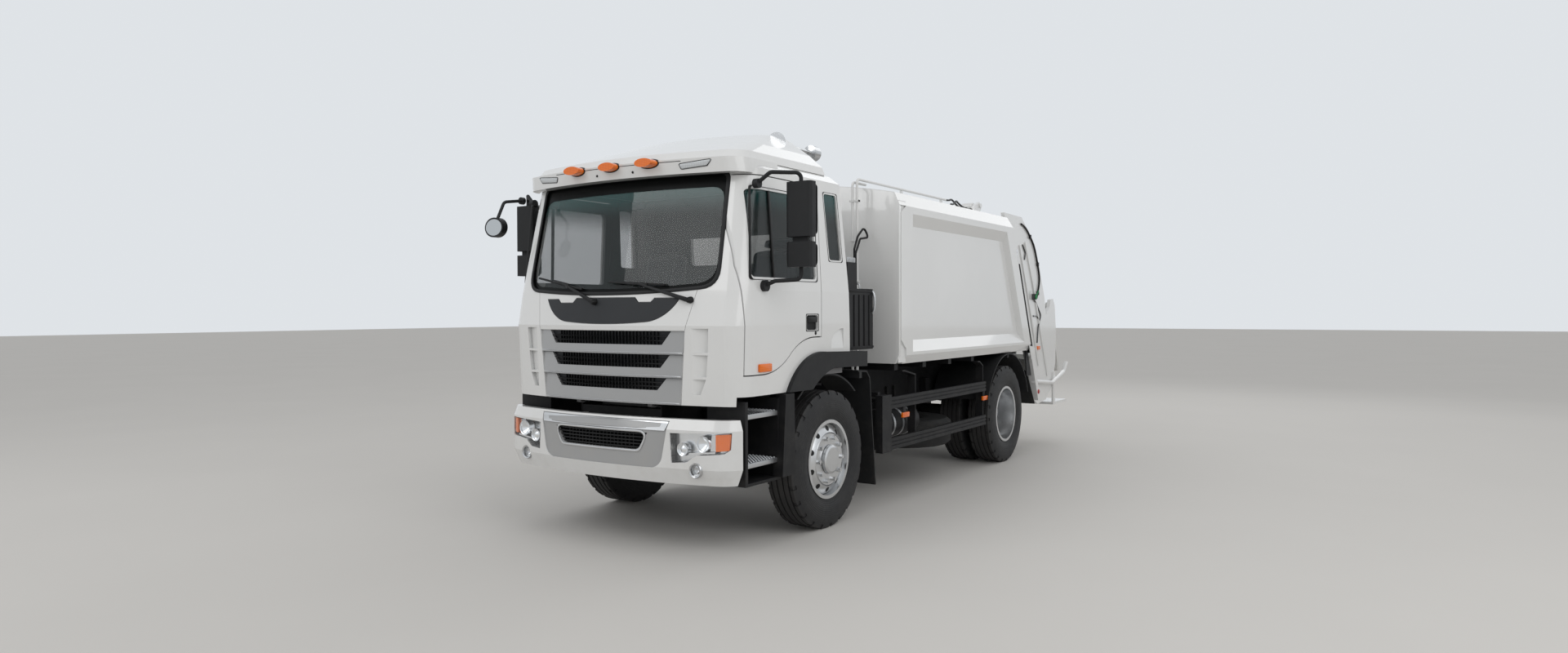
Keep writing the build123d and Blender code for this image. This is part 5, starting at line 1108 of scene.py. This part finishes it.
def makeStepTreads():
    parts = []
    (left, right), (front, rear) = step["x"], step["y"]
    for z in step["levels"]:
        floor = (left, frontAxle + front, right, frontAxle + rear)
        parts.append(slab("tread", floor, 0.008, 2, "top", z, step["thick"], 0.001))
        corner = (left + step["nubInset"], frontAxle + front + step["nubInset"], z + 0.003)
        nub = turned("nub", step["nub"], corner, (0, 0, 1), 8)
        for count, pitch in step["nubRows"]:
            harden(nub, "ARRAY", count=count, use_relative_offset=False, use_constant_offset=True,
                   constant_offset_displace=pitch)
        parts.append(nub)
        nosing = (front + frontAxle, z - 0.028, rear + frontAxle, z + 0.002)
        parts.append(slab("nosing", nosing, 0.004, 2, "side", right, step["thick"], 0.001))
    bothSides(joined(parts, "stepTread"), gripTread, "chassis")


guard = {"x": 1.085, "lampY": (1.250, 3.110), "lampZ": 0.752, "lampHalf": (0.066, 0.022),
         "strapHalf": 0.03, "strapZ": (0.72, 0.84)}


def makeGuardLamps():
    lamps, straps = [], []
    (along, rise), (low, top) = guard["lampHalf"], guard["strapZ"]
    for y in guard["lampY"]:
        middle, z = frontAxle + y, guard["lampZ"]
        face = (middle - along, z - rise, middle + along, z + rise)
        lamps.append(slab("lamp", face, 0.010, 3, "side", guard["x"] + 0.006, 0.020, 0.004))
        strap = rect(middle - guard["strapHalf"], low, middle + guard["strapHalf"], top)
        straps.append(plate("strap", strap, "side", guard["x"] + 0.001, 0.006, 0.001))
    bothSides(joined(lamps, "guardLamps"), amber, "chassis")
    bothSides(joined(straps, "guardLampStraps"), chassisBlack, "chassis")


tank = {"x": (-1.005, -0.445), "z": (0.440, 0.960), "corner": 0.09, "straps": (1.62, 2.32),
        "cap": (-1.005, 1.90, 0.90), "bands": (1.25, 1.42, 1.60)}


def makeTankStraps():
    (left, right), (low, top) = tank["x"], tank["z"]
    parts = []
    for y in tank["straps"]:
        outer, inner = (0.005, tank["corner"] + 0.005), (-0.002, tank["corner"] - 0.002)
        parts.append(trim("strap", rect(left, low, right, top), outer, inner, 6, 1, "front",
                          frontAxle + y - 0.03, 0.06))
    for y in tank["bands"]:
        band = rect(0.128, -0.015, 0.134, 0.015)
        parts.append(turned("band", band, (0.87, frontAxle + y, 0.66), (0, 1, 0), 40))
    x, y, z = tank["cap"]
    parts.append(turned("cap", [(0.0, -0.05), (0.045, -0.05), (0.055, -0.04), (0.055, 0.0), (0.0, 0.0)],
                        (x + 0.02, frontAxle + y, z - 0.06), (1, 0, 0), 28))
    done(joined(parts, "tankStraps"), treadPlate, "chassis")


makeStepTreads()
makeGuardLamps()
makeTankStraps()
print("steps, guards and tanks")

# tailgate ribs, valve and lamps

gate = {"x": 1.070, "ribs": ([(4.235, 2.400), (4.493, 1.891), (4.900, 1.000)],
                             [(4.420, 2.440), (4.690, 1.977), (4.974, 1.394), (5.240, 0.860)]),
        "ribWidth": 0.036, "ribProud": 0.014, "valve": (4.700, 1.815), "lamp": (4.887, 1.211),
        "lampHalf": (0.05, 0.022)}


def ribOutline(points, width):
    line = [Vector(point) for point in fromAxle(points)]
    left, right = [], []
    for index, point in enumerate(line):
        before = (point - line[max(index - 1, 0)]) or (line[1] - line[0])
        after = (line[min(index + 1, len(line) - 1)] - point) or before
        along = (before.normalized() + after.normalized()).normalized()
        across = Vector((-along.y, along.x)) * width / 2
        left.append(point + across)
        right.append(point - across)
    return left + right[::-1]


def makeGateDetail():
    ribs = []
    for points in gate["ribs"]:
        outline = ribOutline(points, gate["ribWidth"])
        ribs.append(plate("rib", outline, "side", gate["x"] - 0.002, gate["ribProud"] + 0.002, 0.004))
    bothSides(joined(ribs, "gateRibs"), whitePaint, "tailgate")
    y, z = gate["valve"]
    y += frontAxle
    knob = turned("knob", [(0.0, 0.0), (0.026, 0.0), (0.030, 0.008), (0.024, 0.014), (0.0, 0.014)],
                  (gate["x"] + 0.038, y, z), (1, 0, 0), 20)
    lever = tube("lever", [(gate["x"] + 0.046, y, z), (gate["x"] + 0.048, y + 0.03, z + 0.05),
                           (gate["x"] + 0.048, y + 0.07, z + 0.07)], 0.007)
    done(joined([knob, lever], "gateValve"), roadGreen, "tailgate")
    (y, z), (along, rise) = gate["lamp"], gate["lampHalf"]
    outline = rounded(fromAxle(rect(y - along, z - rise, y + along, z + rise)), 0.010, 3)
    bothSides(plate("gateLamp", outline, "side", gate["x"] - 0.001, 0.019, 0.004), amber, "tailgate")


makeGateDetail()
print("tailgate detail")

# refuse body and air intake fittings, hoses, wheel rims and rear lamps

bodyFront = {"y": -1.238, "low": 1.205, "halfWidth": 1.147, "crown": 2.782, "shoulder": (1.098, 2.667),
             "depth": 0.034, "chamfer": (0.04, 0.075), "sideTop": 2.557}


def makeBodyFront():
    half, low, (topX, topZ) = bodyFront["halfWidth"], bodyFront["low"], bodyFront["shoulder"]
    cutX, cutZ = bodyFront["chamfer"]
    crown, sideTop = bodyFront["crown"], bodyFront["sideTop"]
    across = [topX - 2 * topX * k / 24 for k in range(25)]
    arc = [(x, crown - (crown - topZ) * (x / topX) ** 2) for x in across]
    outline = [(-half + cutX, low), (half - cutX, low), (half, low + cutZ), (half, sideTop)]
    outline += arc + [(-half, sideTop), (-half, low + cutZ)]
    parts = [plate("panel", outline, "front", bodyFront["y"], bodyFront["depth"], 0.004)]
    for bottom, top in ((low + 0.01, 1.425), (2.485, 2.60)):
        for x in (1.05, -1.135):
            parts.append(plate("corner", fromAxle(rect(1.045, bottom, 1.185, top)), "side", x, 0.085))
    done(joined(parts, "bodyFrontPanel"), whitePaint, "chassis")


intakeBox = {"x": 1.010, "y": (0.420, 0.820), "z": (1.340, 1.840), "snorkelTop": 2.050, "ribs": 4,
             "ribStep": 0.085}


def makeIntakeFittings():
    x, (front, rear), (low, top) = intakeBox["x"], intakeBox["y"], intakeBox["z"]
    parts = []
    for k in range(intakeBox["ribs"]):
        y = front + 0.07 + k * intakeBox["ribStep"]
        outline = rounded(fromAxle(rect(y, low + 0.03, y + 0.022, top - 0.05)), 0.008, 3)
        parts.append(plate("rib", outline, "side", x - 0.001, 0.008, 0.002))
    for z in (top - 0.03, low + 0.01):
        outline = rounded(fromAxle(rect(front - 0.004, z, rear + 0.004, z + 0.018)), 0.004, 3)
        parts.append(plate("band", outline, "side", x - 0.30, 0.307, 0.003))
    parts.append(slab("lid", (0.735, frontAxle + 0.435, 0.975, frontAxle + 0.605), 0.02, 4, "top",
                      intakeBox["snorkelTop"] - 0.03, 0.034, 0.006))
    done(joined(parts, "intakeRibs"), chassisBlack, "chassis")
    bend = [(0.002, 1.640), (0.024, 1.655), (0.024, 1.800), (0.002, 1.820)]
    pale = tube("handle", aft([(x + out, rear - 0.012, z) for out, z in bend]), 0.010)
    outline = rounded(fromAxle(rect(0.46, 2.052, 0.60, 2.094)), 0.012, 4)
    bracket = plate("bracket", outline, "side", 0.96, 0.006, 0.001)
    eyes = [turned("eye", rect(0.008, 0.0, 0.014, 0.010), (0.958, frontAxle + y, 2.073), (1, 0, 0), 16)
            for y in (0.495, 0.565)]
    bend = [(0.90, 1.838), (0.90, 1.885), (0.94, 1.885), (0.94, 1.838)]
    loops = [tube("loop", aft([(across, y, z) for across, z in bend]), 0.006) for y in (0.66, 0.72)]
    done(joined([pale, bracket] + eyes + loops, "intakeHandle"), treadPlate, "chassis")


hoseRun = {"radius": 0.010,
           "roof": ([(0.817, 2.740, 2.785), (0.815, 2.84, 2.785), (0.80, 2.95, 2.812), (0.77, 3.08, 2.800),
                     (0.76, 3.24, 2.752), (0.75, 3.42, 2.750)],
                    [(0.86, 2.80, 2.742), (0.85, 2.90, 2.748), (0.83, 3.00, 2.800), (0.80, 3.12, 2.790),
                     (0.80, 3.26, 2.750), (0.80, 3.45, 2.745)]),
           "edge": [(4.28, 2.640), (4.40, 2.625), (4.60, 2.510), (4.74, 2.400), (4.86, 2.200), (4.93, 2.040),
                    (4.90, 1.930), (4.82, 1.800)],
           "roofClips": ((0.76, 3.24, 2.746), (0.80, 3.30, 2.744), (0.755, 3.40, 2.746), (0.80, 3.43, 2.744)),
           "edgeClips": ((4.58, 2.515), (4.855, 2.205), (4.86, 1.860)), "clamps": (1.45, 1.90, 2.25)}


def makeHoses():
    parts = [tube("hose", aft(route), hoseRun["radius"]) for route in hoseRun["roof"]]
    for x, y, z in hoseRun["roofClips"]:
        clip = (x - 0.03, z - 0.012, x + 0.03, z + 0.014)
        parts.append(slab("clip", clip, 0.01, 3, "front", frontAxle + y, 0.02, 0.002))
    done(joined(parts, "roofHoses"), gasket, "chassis", 60)
    parts = [tube("hose", aft([(1.080, y, z) for y, z in hoseRun["edge"]]), hoseRun["radius"])]
    for y, z in hoseRun["edgeClips"]:
        outline = fromAxle(rect(y - 0.022, z - 0.022, y + 0.022, z + 0.022))
        parts.append(plate("clip", outline, "side", 1.069, 0.022, 0.003))
    done(joined(parts, "gateEdgeHose"), gasket, "tailgate", 60)
    y = frontAxle + 0.885
    clamps = [slab("clamp", (0.752, z, 0.838, z + 0.012), 0.004, 3, "front", y, 0.030, 0.002)
              for z in hoseRun["clamps"]]
    done(joined(clamps, "conduitClamps"), whitePaint, "chassis")


roofEnd = {"halfWidth": 0.9, "low": 2.655, "crown": 2.783, "fall": 0.115, "y": 3.700}


def makeRoofEnd():
    half, low, crown, fall = roofEnd["halfWidth"], roofEnd["low"], roofEnd["crown"], roofEnd["fall"]
    across = [half - 2 * half * k / 16 for k in range(17)]
    outline = [(-half, low), (half, low)] + [(x, crown - fall * (x / 1.1) ** 2) for x in across]
    end = plate("roofEnd", outline, "front", frontAxle + roofEnd["y"], 0.012)
    done(end, whitePaint, "chassis")


frontRim = {"out": 0.148,
            "face": [(0.2745, 0.066), (0.2630, 0.084), (0.2050, 0.112), (0.2050, 0.104), (0.2600, 0.077),
                     (0.2700, 0.058)],
            "vents": 10, "ventCircle": 0.235, "ventOut": 0.0968, "ventRadius": 0.0215, "tilt": (0.898, 0.441)}


def makeRimFaces():
    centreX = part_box("rim_front_left")[1][0] - frontRim["out"]
    face = turned("rimFace", frontRim["face"], (centreX, frontAxle, wheelRadius), (1, 0, 0), 80)
    bothSides(face, alloy, "wheel_front")
    out, across = frontRim["tilt"]
    # black discs in the vent holes of the front rims: painted shade, so that the holes read dark
    vents = []
    for k in range(frontRim["vents"]):
        angle = math.pi * (2 * k + 1) / frontRim["vents"]
        c, s = math.cos(angle), math.sin(angle)
        place = (centreX + frontRim["ventOut"], frontAxle + frontRim["ventCircle"] * c,
                 wheelRadius + frontRim["ventCircle"] * s)
        ventShadeDisc = rect(0.0, -0.006, frontRim["ventRadius"], 0.0015)
        vents.append(turned("vent", ventShadeDisc, place, (out, across * c, across * s), 20))
    bothSides(joined(vents, "rimVents"), gasket, "wheel_front", 30)


rearRim = {"x": 0.96, "inner": 0.207, "outer": 0.273, "shade": -0.115, "shadeDepth": 0.006}


def makeRimShades():
    across = rearRim["shade"]
    section = rect(rearRim["inner"], across - rearRim["shadeDepth"], rearRim["outer"], across)
    shade = turned("rimShadeRear", section, (rearRim["x"], rearAxle, wheelRadius), (1, 0, 0), 40)
    bothSides(shade, gasket, "wheel_rear")


rear = {"lampX": 0.86, "lampZ": 0.755, "lampY": 5.430, "lampHalf": 0.045,
        "lenses": (("rearLampRed", 0.02, 0.135, redLens), ("rearLampAmber", -0.07, 0.005, amber),
                   ("rearLampClear", -0.155, -0.085, clearLens)),
        "reflector": (1.1235, 4.752, 0.700)}


def makeRearLamps():
    low, high = rear["lampZ"] - rear["lampHalf"], rear["lampZ"] + rear["lampHalf"]
    x, y = rear["lampX"], frontAxle + rear["lampY"]
    house = slab("rearLampHouse", (x - 0.17, low, x + 0.15, high), 0.015, 4, "front", y - 0.12, 0.160, 0.006)
    bothSides(house, gasket, "tailgate")
    for name, start, end, finish in rear["lenses"]:
        face = (x + start, low + 0.012, x + end, high - 0.012)
        lens = slab(name, face, 0.010, 4, "front", y + 0.035, 0.018, 0.005)
        bothSides(lens, finish, "tailgate")
    profile = [(0.0, 0.0), (0.026, 0.0), (0.026, 0.008), (0.021, 0.012), (0.0, 0.012)]
    reflector = turned("sideReflector", profile, aft([rear["reflector"]])[0], (1, 0, 0), 24)
    bothSides(reflector, redLens, "tailgate")


makeBodyFront()
makeIntakeFittings()
makeHoses()
makeRoofEnd()
makeRimFaces()
makeRimShades()
makeRearLamps()
print("refuse body fittings, rims and rear lamps")

# floor, backdrop and lamps


def setStage():
    deselect()
    bpy.ops.mesh.primitive_plane_add(size=160, location=(0, 0, 0))
    floor = bpy.context.object
    floor.name = "studioFloor"
    concrete = Finish("studioFloor", light["floor"], 0.75)
    cloudy = concrete.noise(0.5, 5)
    concrete.set("Base Color", concrete.blend(cloudy, tuple(c * 0.94 for c in light["floor"]), light["floor"]))
    floor.data.materials.append(concrete.material)


def setWorld():  # soft sky light, and a brighter sky where the camera or a reflection sees it
    world = bpy.data.worlds.new("studio")
    bpy.context.scene.world = world
    world.use_nodes = True
    nodes = world.node_tree.nodes
    link = world.node_tree.links.new
    sky, seen = nodes["Background"], nodes.new("ShaderNodeBackground")
    for background, colour, strength in ((sky, (1, 1, 1), light["sky"]), (seen, (0.74, 0.77, 0.80), 1.0)):
        background.inputs["Color"].default_value = (*colour, 1)
        background.inputs["Strength"].default_value = strength
    rays = nodes.new("ShaderNodeLightPath").outputs
    mask = rays["Is Camera Ray"]
    for kind in ("Is Glossy Ray", "Is Transmission Ray"):
        total = nodes.new("ShaderNodeMath")
        total.use_clamp = True
        link(mask, total.inputs[0])
        link(rays[kind], total.inputs[1])
        mask = total.outputs[0]
    mix = nodes.new("ShaderNodeMixShader")
    for socket, output in zip(mix.inputs, (mask, sky.outputs[0], seen.outputs[0])):
        link(output, socket)
    link(mix.outputs[0], nodes["World Output"].inputs["Surface"])


setStage()
setWorld()
softLamp((-4, -12, 9), (0, -1, 1.5), 7, light["key"])
softLamp((9, -5, 7), (0, 0, 1.5), 8, light["fill"])
softLamp((2, 10, 8), (0, 1, 1.5), 8, light["rear"])
print("stage and light set")
